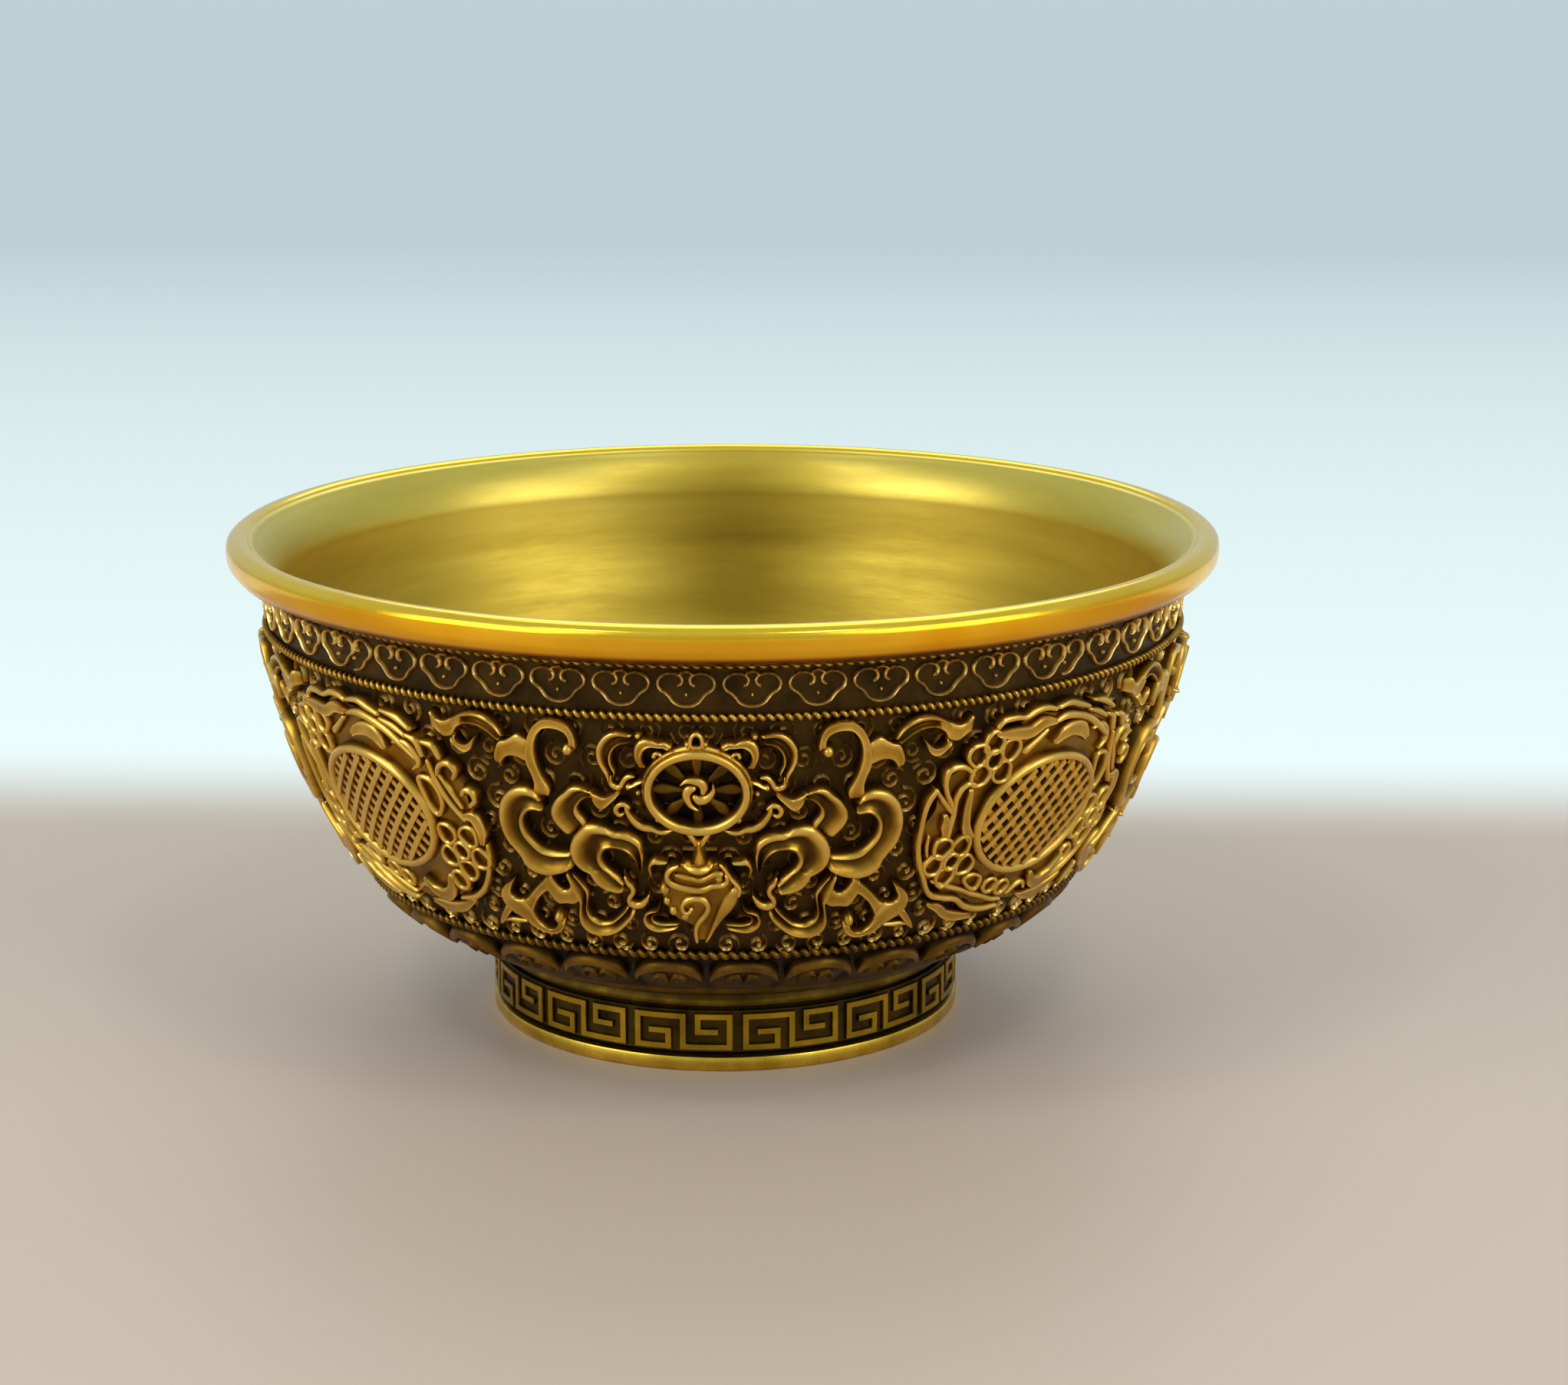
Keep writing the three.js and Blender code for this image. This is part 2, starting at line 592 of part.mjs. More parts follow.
function vase() {
  const outline = [[0, -2, 2.3], [0, -2.9, 1.4], [0, -3.8, 1.6], [0, -5.4, 4.2], [0, -7.3, 4.7], [0, -9.3, 3.4],
    [0, -10.8, 2], [0, -12, 2.8]];
  return join([stroke(outline, { section: 'dome', high: emblemRise, steps: 10 })]);
}

// Emblems of the left panel: a pair of fish above an endless knot
function fishPair() {
  const fish = [[3.3, 12.4, 1.1], [2.9, 11, 0.65], [3.1, 9, 1.6], [2.1, 6.2, 2], [0.9, 3.8, 1.2], [0.4, 2.4, 0.4]];
  return join([
    stroke(fish, { section: 'dome', high: emblemRise, steps: 8 }),
    stroke(mirrored(fish), { section: 'dome', low: 0.34, high: emblemRise - 0.1, steps: 8 }),
    stroke([[0, 3, 0.9], [0, 0.5, 0.5], [0, -0.9, 1]], { section: 'dome', low: 0.4, high: 1.2 }),
  ]);
}

function endlessKnot() {
  const middle = -7;
  const reach = 3.2;
  const bars = [];
  for (const slide of [-1.3, 1.3]) {
    const rising = [[slide - reach, middle - slide - reach, 0.6], [slide + reach, middle - slide + reach, 0.6]];
    const falling = [[slide + reach, middle + slide - reach, 0.6], [slide - reach, middle + slide + reach, 0.6]];
    bars.push(stroke(rising, { low: 0.32, high: 1.7, steps: 1 }));
    bars.push(stroke(falling, { low: 0.42, high: 1.9, steps: 1 }));
  }
  return join([...bars, hoop(0, middle, 4, 4.5, 0.6, { section: 'ridge', low: 0.38, high: 1.5, steps: 8 })]);
}

// A round medallion over a seam: a scalloped plate with a raised ring round a low centre, and a wreath
const medallionStart = 25.6;
const medallionMiddle = 2.5;
const medallionRadii = [fieldWidth / 2 - medallionStart, 12.4];
const medallionBands = [0.3, 0.47, 0.54, 0.61, 0.8, 1];
const wreathLobes = 10;
function medallion() {
  const isLobe = (turn) => Math.round(turn / Math.PI * wreathLobes) % 2 === 1;
  const outline = (turn) => (isLobe(turn) ? 1 : 0.95);
  const height = (share, turn) => {
    if (share === medallionBands[2]) return medallionRise + 0.2;
    if (share === medallionBands[4]) return isLobe(turn) ? medallionRise : plateRise;
    return plateRise;
  };
  return plate(0, medallionMiddle, medallionRadii, outline, 2 * wreathLobes, medallionBands, seatGap, height);
}

// Four quarters: panel, ribbons and emblems in one group, and a medallion over the seam to its right
const quarters = [
  { side: 'front', upper: ['wheel', wheel], lower: ['conch', conch] },
  { side: 'right', upper: ['parasol', parasol], lower: ['banner', banner] },
  { side: 'back', upper: ['lotus_flower', lotusFlower], lower: ['vase', vase] },
  { side: 'left', upper: ['fish_pair', fishPair], lower: ['endless_knot', endlessKnot] },
];
quarters.forEach(({ side, upper, lower }, i) => {
  const quarter = new THREE.Group();
  quarter.rotation.z = i * quarterTurn;
  add(quarter, `jacket_${side}`, jacketPanel(), agedBrass());
  add(quarter, `ribbons_${side}_left`, ribbonSide(true), reliefBrass());
  add(quarter, `ribbons_${side}_right`, ribbonSide(false), reliefBrass());
  add(quarter, `${upper[0]}_${side}`, upper[1](), reliefBrass());
  add(quarter, `${lower[0]}_${side}`, lower[1](), reliefBrass());
  bowl.add(quarter);
  const overSeam = new THREE.Group();
  overSeam.rotation.z = (i + 0.5) * quarterTurn;
  add(overSeam, `medallion_${i + 1}`, medallion(), reliefBrass());
  bowl.add(overSeam);
});

export default bowl;
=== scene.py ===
"""Looks of a small brass relief bowl on a round foot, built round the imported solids.

Shapes are worked out in millimetres, with Z up and the front panel facing -Y, and become metres in the meshes.
"""

import math

import bpy
import numpy as np
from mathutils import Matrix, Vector

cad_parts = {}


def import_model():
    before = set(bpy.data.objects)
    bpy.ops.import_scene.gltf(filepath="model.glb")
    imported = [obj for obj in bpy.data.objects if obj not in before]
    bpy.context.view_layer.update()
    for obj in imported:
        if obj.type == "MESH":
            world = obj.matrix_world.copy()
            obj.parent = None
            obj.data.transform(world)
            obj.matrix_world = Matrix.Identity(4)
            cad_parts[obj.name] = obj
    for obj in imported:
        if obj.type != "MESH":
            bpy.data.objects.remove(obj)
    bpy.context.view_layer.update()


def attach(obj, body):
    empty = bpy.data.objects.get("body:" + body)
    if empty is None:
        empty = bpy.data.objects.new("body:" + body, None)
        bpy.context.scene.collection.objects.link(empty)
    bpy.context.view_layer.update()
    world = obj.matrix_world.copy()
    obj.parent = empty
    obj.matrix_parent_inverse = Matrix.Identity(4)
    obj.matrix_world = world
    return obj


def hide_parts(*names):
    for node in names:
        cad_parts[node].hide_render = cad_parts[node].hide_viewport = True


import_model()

MM = 0.001
TAU = 2 * math.pi
QUARTER = math.pi / 2

# Sizes of the bowl, as the solids have them
NECK_RADIUS = 55.6
NECK_HEIGHT = 55.5
FOOT_HEIGHT = 9.6
FOOT_WALL = 27.8
JOINT_RADIUS = 29.4
FOOT_INNER = 25.5
FLANGE_HOLE = 18.5
FLANGE_BOTTOM = 8.99
FLANGE_TOP = 10.79
JACKET_WALL = 1.4
SEAM_ANGLE = 0.0004
UPPER_WIRE = 0.8
MIDDLE_WIRE = 1.0
LOWER_WIRE = 1.1
UPPER_DROP = 0.1
CLOUD_BAND = 4.9
LOTUS_BAND = 17.4
FIELD_START = 13.7
PETALS = 30

# Rises from the jacket's ground line: the liner's two skins, and the sunk back of a raised shape
LINER_OUTER = -1.7
LINER_INNER = -2.9
SUNK = -0.15

# The jacket's ground line, as shares of the height and of the swelling
BELLY = np.array([[0, 0], [0.079, 0.25], [0.198, 0.508], [0.369, 0.691], [0.581, 0.847], [0.791, 0.958], [1, 1]])


def belly_line(samples=4000):
    """Ground line of the jacket. Each stretch is a cubic through two knots, whose slope at a knot is half
    of the step between that knot's neighbours. Rows: distance along, radius, height, outward direction."""
    knots = np.stack([
        JOINT_RADIUS + BELLY[:, 1] * (NECK_RADIUS - JOINT_RADIUS),
        FOOT_HEIGHT + BELLY[:, 0] * (NECK_HEIGHT - FOOT_HEIGHT),
    ], 1)
    padded = np.vstack([knots[:1], knots, knots[-1:]])
    t = np.linspace(0, len(knots) - 1, samples)
    i = np.minimum(t.astype(int), len(knots) - 2)
    u = (t - i)[:, None]
    before, start, end, after = (padded[i + k] for k in range(4))
    leave, arrive = (end - before) / 2, (after - start) / 2
    line = (2 * start - 2 * end + leave + arrive) * u**3
    line += (3 * end - 3 * start - 2 * leave - arrive) * u**2 + leave * u + start
    along = np.concatenate([[0], np.cumsum(np.hypot(*np.diff(line, axis=0).T))])
    slope = np.gradient(line, axis=0)
    slope /= np.hypot(*slope.T)[:, None]
    return along, line[:, 0], line[:, 1], slope[:, 1], -slope[:, 0]


ALONG, RADIUS, HEIGHT, OUT_RADIUS, OUT_HEIGHT = belly_line()
LENGTH = ALONG[-1]
UPPER_AT = LENGTH - UPPER_DROP
MIDDLE_AT = UPPER_AT - UPPER_WIRE / 2 - CLOUD_BAND - MIDDLE_WIRE / 2
LOWER_AT = LOTUS_BAND
FRIEZE_MIDDLE = (MIDDLE_AT + FIELD_START) / 2
FRIEZE_LENGTH = MIDDLE_AT - FIELD_START

# A panel's drawing field: x runs over a quarter turn, y over the frieze, and the middle is nought
FIELD_WIDTH = 84.8
FIELD_HEIGHT = 33.2


def round_axis(angle, radius, height):
    """Points at an angle from the front, a distance from the bowl's axis and a height."""
    return np.stack(np.broadcast_arrays(radius * np.sin(angle), -radius * np.cos(angle), height), -1)


def off_line(along, rise):
    """Radius and height of a point so far along the ground line and so far out from it."""
    along = np.clip(along, 0, LENGTH)
    radius = np.interp(along, ALONG, RADIUS) + rise * np.interp(along, ALONG, OUT_RADIUS)
    return radius, np.interp(along, ALONG, HEIGHT) + rise * np.interp(along, ALONG, OUT_HEIGHT)


def on_bowl(angle, along, rise):
    """Such a point, turned by the angle from the front."""
    return round_axis(angle, *off_line(along, rise))


def field(turn, mirror=False):
    """The drawing field of a panel, or of a medallion, whose middle is turned so far from the front."""
    side = -1 if mirror else 1
    return lambda x, y, rise: on_bowl(
        turn + side * x / FIELD_WIDTH * QUARTER, FRIEZE_MIDDLE + y / FIELD_HEIGHT * FRIEZE_LENGTH, rise)


def band(turn, middle):
    """A field in millimetres on a narrow border, whose middle lies so far along the ground line."""
    radius = np.interp(middle, ALONG, RADIUS)
    return lambda x, y, rise: on_bowl(turn + x / radius, middle + y, rise)


def on_foot(turn):
    """A field in millimetres on the foot's round wall."""
    return lambda x, y, rise: round_axis(turn + x / FOOT_WALL, FOOT_WALL + rise, y)


# Mesh building. A shape is its points, its triangles and the wear of each point, which in places also carries painted
# shade and highlights: 0 deep and dark, 1 bright.

def weave(rows, columns, closed_rows=False, closed_columns=False):
    """Two triangles for each cell of a grid of corners, which may close on itself either way."""
    i = np.arange(rows if closed_rows else rows - 1)[:, None]
    j = np.arange(columns if closed_columns else columns - 1)[None]
    next_i, next_j = (i + 1) % rows, (j + 1) % columns
    quads = np.stack(np.broadcast_arrays(
        i * columns + j, i * columns + next_j, next_i * columns + next_j, next_i * columns + j,
    ), -1).reshape(-1, 4)
    return np.concatenate([quads[:, [0, 1, 2]], quads[:, [0, 2, 3]]])


def outward(points, faces, wear):
    """The shape with its faces turned outwards: the volume under them must be above nought."""
    a, b, c = (points[faces[:, k]] for k in range(3))
    if np.einsum("ij,ij->i", a, np.cross(b, c)).sum() < 0:
        faces = faces[:, ::-1]
    return points, faces, wear


def merge(shapes):
    """Several shapes as one list of points, triangles and wear."""
    shapes = list(shapes)
    starts = np.cumsum([0] + [len(s[0]) for s in shapes[:-1]])
    return (
        np.concatenate([s[0] for s in shapes]),
        np.concatenate([s[1] + start for s, start in zip(shapes, starts)]),
        np.concatenate([s[2] for s in shapes]),
    )


def capped_tube(points, wear):
    """Closed skin over rings of points, rows by columns, with a fan over each end."""
    rows, columns = points.shape[:2]
    fan = np.stack([np.zeros(columns - 2, int), np.arange(1, columns - 1), np.arange(2, columns)], 1)
    end = (rows - 1) * columns
    faces = np.concatenate([weave(rows, columns, False, True), fan[:, ::-1], end + fan])
    return outward(points.reshape(-1, 3), faces, wear.reshape(-1))


def ring_solid(points, wear):
    """Closed skin over rings of points that follow each other right round."""
    rows, columns = points.shape[:2]
    return outward(points.reshape(-1, 3), weave(rows, columns, True, True), wear.reshape(-1))


def poled(poles, rings, wear):
    """Closed skin over rings of points, rows by columns, with a fan from a pole at either end."""
    rows, columns = rings.shape[:2]
    j = np.arange(columns)
    next_j = (j + 1) % columns
    last = 2 + (rows - 1) * columns
    first_fan = np.stack([0 * j, 2 + next_j, 2 + j], 1)
    last_fan = np.stack([1 + 0 * j, last + j, last + next_j], 1)
    faces = np.concatenate([first_fan, 2 + weave(rows, columns, False, True), last_fan])
    return outward(np.concatenate([poles, rings.reshape(-1, 3)]), faces, wear)


def turned(profile, wear, steps=360, wobble=None):
    """A closed profile of radius and height turned round the axis. The wobble adds to the radius by angle."""
    profile = np.asarray(profile, float)
    angle = np.arange(steps)[:, None] * TAU / steps
    radius = profile[None, :, 0] + (wobble(angle, profile[None, :, 1]) if wobble else 0)
    points = round_axis(angle, radius, profile[None, :, 1])
    return ring_solid(points, np.broadcast_to(np.asarray(wear, float), points.shape[:2]))


def eased(share):
    """A share of 0 to 1 that starts and ends its rise gently."""
    return share * share * (3 - 2 * share)


def smooth_line(knots, count, closed=False):
    """Evenly spread points on a smooth line through given ones: a cubic between each pair, whose slope at a
    point is the weighted mean of the slopes on its two sides. Every column is carried along."""
    knots = np.asarray(knots, float)
    if closed:
        knots = np.vstack([knots[-2:], knots, knots[:3]])
    reach = np.concatenate([[0], np.cumsum(np.hypot(*np.diff(knots[:, :2], axis=0).T))])
    slope = np.gradient(knots, reach, axis=0)
    first, last = (reach[2], reach[-3]) if closed else (0, reach[-1])
    t = np.linspace(first, last, count, endpoint=not closed)
    i = np.clip(np.searchsorted(reach, t, side="right") - 1, 0, len(reach) - 2)
    span = (reach[i + 1] - reach[i])[:, None]
    u = (t - reach[i])[:, None] / span
    return (
        (1 + 2 * u) * (1 - u) ** 2 * knots[i] + u * (1 - u) ** 2 * span * slope[i]
        + u**2 * (3 - 2 * u) * knots[i + 1] + u**2 * (u - 1) * span * slope[i + 1]
    )


def line_length(knots):
    """Length of the straight runs through some points."""
    return np.hypot(*np.diff(np.asarray(knots, float)[:, :2], axis=0).T).sum()


def both(knots):
    """A line and its mirror image."""
    return [knots, [(-x, y, half) for x, y, half in knots]]


def oval(x, y, radii, half, turn):
    """The points of a closed oval line, one for each turn."""
    return np.stack([x + radii[0] * np.cos(turn), y + radii[1] * np.sin(turn), half + 0 * turn], 1)


# Cross-sections of raised lines, right side to left: offset and height as shares, and wear
SECTIONS = {
    "wire": [(-1, 0, 0.5), (-0.75, 0.75, 0.95), (0, 1, 1), (0.75, 0.75, 0.95), (1, 0, 0.5)],
    "rounded": [(-1, 0, 0.1), (-0.94, 0.5, 0.4), (-0.76, 0.82, 0.8), (-0.4, 0.97, 1), (0, 1, 1),
                (0.4, 0.97, 1), (0.76, 0.82, 0.8), (0.94, 0.5, 0.4), (1, 0, 0.1)],
    "flat": [(-1, 0, 0.1), (-0.98, 0.6, 0.4), (-0.9, 0.93, 0.9), (-0.76, 1, 1), (-0.3, 0.95, 0.8), (0.3, 0.95, 0.8),
             (0.76, 1, 1), (0.9, 0.93, 0.9), (0.98, 0.6, 0.4), (1, 0, 0.1)],
    "channel": [(-1, 0, 0.1), (-0.97, 0.5, 0.4), (-0.86, 0.84, 0.9), (-0.7, 0.88, 0.95), (-0.56, 0.75, 0.6),
                (-0.42, 0.6, 0.3), (-0.22, 0.56, 0.2), (0, 0.64, 0.3), (0.22, 0.82, 0.55), (0.45, 0.97, 0.85),
                (0.7, 1, 1), (0.88, 0.9, 0.9), (0.97, 0.55, 0.4), (1, 0, 0.1)],
    "twin": [(-1, 0, 0.1), (-0.96, 0.6, 0.4), (-0.8, 1, 1), (-0.5, 0.95, 0.9), (-0.15, 0.66, 0.4), (0.15, 0.66, 0.4),
             (0.5, 0.95, 0.9), (0.8, 1, 1), (0.96, 0.6, 0.4), (1, 0, 0.1)],
    "dome": [(-math.cos(a), math.sin(a), 0.2 + 0.8 * math.sin(a) ** 0.5)
             for a in np.radians([0, 8, 20, 35, 52, 70, 90, 110, 128, 145, 160, 172, 180])],
    "tube": [(-1, 0, 0.1), (-0.97, 0.55, 0.5), (-0.8, 0.9, 0.9), (-0.55, 1, 1), (-0.3, 0.94, 0.75), (0, 0.93, 0.75),
             (0.3, 0.96, 0.9), (0.62, 0.9, 1), (0.85, 0.7, 0.8), (0.97, 0.4, 0.5), (1, 0, 0.1)],
    "pillow": [(-1, 0, 0.3), (-0.985, 0.4, 0.6), (-0.94, 0.68, 0.85), (-0.84, 0.86, 1), (-0.6, 0.96, 1),
               (-0.3, 0.99, 1), (0, 1, 1), (0.3, 0.99, 1), (0.6, 0.96, 1), (0.84, 0.86, 1), (0.94, 0.68, 0.85),
               (0.985, 0.4, 0.6), (1, 0, 0.3)],
    "ridge": [(-1, 0, 0.4), (0, 1, 0.9), (1, 0, 0.4)],
    "hoop": [(-1, 0, 0.1), (-0.96, 0.6, 0.5), (-0.8, 0.93, 0.9), (-0.45, 1, 1), (0.05, 1, 1), (0.3, 0.92, 0.85),
             (0.42, 0.74, 0.5), (0.6, 0.68, 0.85), (0.82, 0.62, 0.9), (0.96, 0.4, 0.5), (1, 0, 0.1)],
}


def swept(x, y, ahead, half, lift, section, low, high, place, worn):
    """Rings of a cross-section at the points of a line on a field, and their wear. Its offsets are scaled by
    the half width and set square to the direction ahead, and its heights are scaled by the lift."""
    shape = np.array(SECTIONS[section])
    offset = half[:, None] * shape[None, :, 0]
    rise = low + (high - low) * lift[:, None] * shape[None, :, 1]
    points = place(x[:, None] - ahead[:, 1:] * offset, y[:, None] + ahead[:, :1] * offset, rise)
    return points, np.broadcast_to(worn * shape[None, :, 2], offset.shape)


def raised_line(knots, section="rounded", low=SUNK, high=1.45, step=0.3, place=None, closed=False, worn=1.0):
    """A cross-section carried along a smooth line on a field. Open ends are rounded by three more rings, where
    the half width falls as the cosine of an angle, the way ahead as its sine, and the height a little."""
    count = max(4, int(line_length(knots) / step) + 1)
    line = smooth_line(knots, count, closed)
    x, y, half = line[:, 0], line[:, 1], np.maximum(line[:, 2], 0.03)
    lift = np.ones(len(x))
    if closed:
        ahead = np.stack([np.roll(x, -1) - np.roll(x, 1), np.roll(y, -1) - np.roll(y, 1)], 1)
    else:
        ahead = np.gradient(line[:, :2], axis=0)
    ahead /= np.hypot(*ahead.T)[:, None]
    if not closed:
        turn = np.radians([83, 60, 30])
        first = [half[0] * np.cos(turn), half[0] * np.sin(turn)]
        last = [half[-1] * np.cos(turn[::-1]), half[-1] * np.sin(turn[::-1])]
        x = np.concatenate([x[0] - ahead[0, 0] * first[1], x, x[-1] + ahead[-1, 0] * last[1]])
        y = np.concatenate([y[0] - ahead[0, 1] * first[1], y, y[-1] + ahead[-1, 1] * last[1]])
        ahead = np.concatenate([np.repeat(ahead[:1], 3, 0), ahead, np.repeat(ahead[-1:], 3, 0)])
        half = np.concatenate([first[0], half, last[0]])
        fall = np.cos(turn) ** 0.4
        lift = np.concatenate([fall, lift, fall[::-1]])
    skin = ring_solid if closed else capped_tube
    return skin(*swept(x, y, ahead, half, lift, section, low, high, place, worn))


def strip(rows, section="flat", low=SUNK, high=1.45, step=0.3, place=None, worn=1.0):
    """A cross-section carried between two edge lines on a field. Each row holds a point of the outer edge and
    its partner on the inner edge, and the section's offsets share out the span between the two. The two
    rings at either end are lower."""
    shape = np.array(SECTIONS[section])
    line = smooth_line(rows, max(4, int(line_length(rows) / step) + 1))
    share = (1 - shape[None, :, 0]) / 2
    x = line[:, :1] * (1 - share) + line[:, 2:3] * share
    y = line[:, 1:2] * (1 - share) + line[:, 3:4] * share
    lift = np.ones((len(line), 1))
    lift[[0, -1]] = 0.55
    lift[[1, -2]] = 0.92
    rise = low + (high - low) * lift * shape[None, :, 1]
    return capped_tube(place(x, y, rise), np.broadcast_to(worn * shape[None, :, 2], rise.shape))


def square_line(corners, half, low, high, place, step=0.9, worn=1.0):
    """A square bar carried along straight runs on a field. At a corner the section lies on the line that halves
    the angle, widened by the root of two. Its top edges are slightly broken."""
    corners = np.asarray(corners, float)
    runs = np.diff(corners, axis=0)
    runs /= np.hypot(*runs.T)[:, None]
    across = np.stack([-runs[:, 1], runs[:, 0]], 1)
    bends = np.vstack([across[:1], across[:-1] + across[1:], across[-1:]])
    rows = [np.concatenate([corners[:1], bends[:1]], 1)]
    for k, (start, end) in enumerate(zip(corners[:-1], corners[1:])):
        count = max(1, int(np.hypot(*(end - start)) / step))
        share = np.arange(1, count + 1)[:, None] / count
        offset = np.where(share < 1, across[k], bends[k + 1])
        rows.append(np.concatenate([start + share * (end - start), offset], 1))
    x, y, across_x, across_y = np.concatenate(rows).T[:, :, None]
    shape = np.array([(-1, 0, 0.2), (-1, 0.8, 0.7), (-0.86, 1, 1), (0.86, 1, 1), (1, 0.8, 0.7), (1, 0, 0.2)])
    offset = half * shape[None, :, 0]
    rise = np.broadcast_to(low + (high - low) * shape[None, :, 1], (len(x), len(shape)))
    points = place(x + across_x * offset, y + across_y * offset, rise)
    return capped_tube(points, np.broadcast_to(worn * shape[None, :, 2], rise.shape))


def mound(x, y, radii, high, place, low=SUNK, outline=None, height=None, sides=24, shares=None, wear=None):
    """A raised round form on a flat back. Rings at shares of the way out carry a height, by default
    the square root of one less the share squared, and the outline may change the reach by the turn."""
    shares = np.linspace(0, 1, 6)[1:] if shares is None else np.asarray(shares, float)
    turn = np.arange(sides)[None] * TAU / sides
    share = shares[:, None]
    reach = share * (outline(turn) if outline else 1)
    lift = height(share, turn) if height else np.sqrt(np.maximum(1 - share**2, 0)) + 0 * turn
    top = height(np.zeros((1, 1)), np.zeros((1, 1)))[0, 0] if height else 1
    rise = low + (high - low) * lift
    rings = place(x + reach * radii[0] * np.cos(turn), y + reach * radii[1] * np.sin(turn), rise)
    poles = place(np.array([x, x]), np.array([y, y]), np.array([low + (high - low) * top, low]))
    worn = wear(share, turn) if wear else 0.15 + 0.85 * np.clip(lift, 0, 1)
    return poled(poles, rings, np.concatenate([[worn[0].mean(), 0.1], (worn + 0 * turn).reshape(-1)]))


def ball(x, y, radius, high, place, sides=8):
    """A small round bead."""
    return mound(x, y, (radius, radius), high, place, sides=sides, shares=(0.45, 0.8, 1))


def drawn(place, rows):
    """The shapes of a drawing on a field. Each row has a kind, a height, the points, and a dict of what else
    differs from the usual. The kind is a ball or a mound, whose points are its middle and radius, or else
    a cross-section, whose points have a half width or a partner on a strip's other edge."""
    shapes = []
    for kind, high, points, *settings in rows:
        if kind in ("ball", "mound"):
            form = ball if kind == "ball" else mound
            shapes.append(form(*points, high, place, **dict(*settings)))
        else:
            form = strip if len(points[0]) == 4 else raised_line
            shapes.append(form(points, kind, high=high, place=place, **dict(*settings)))
    return shapes


# Drawings in the units of the field

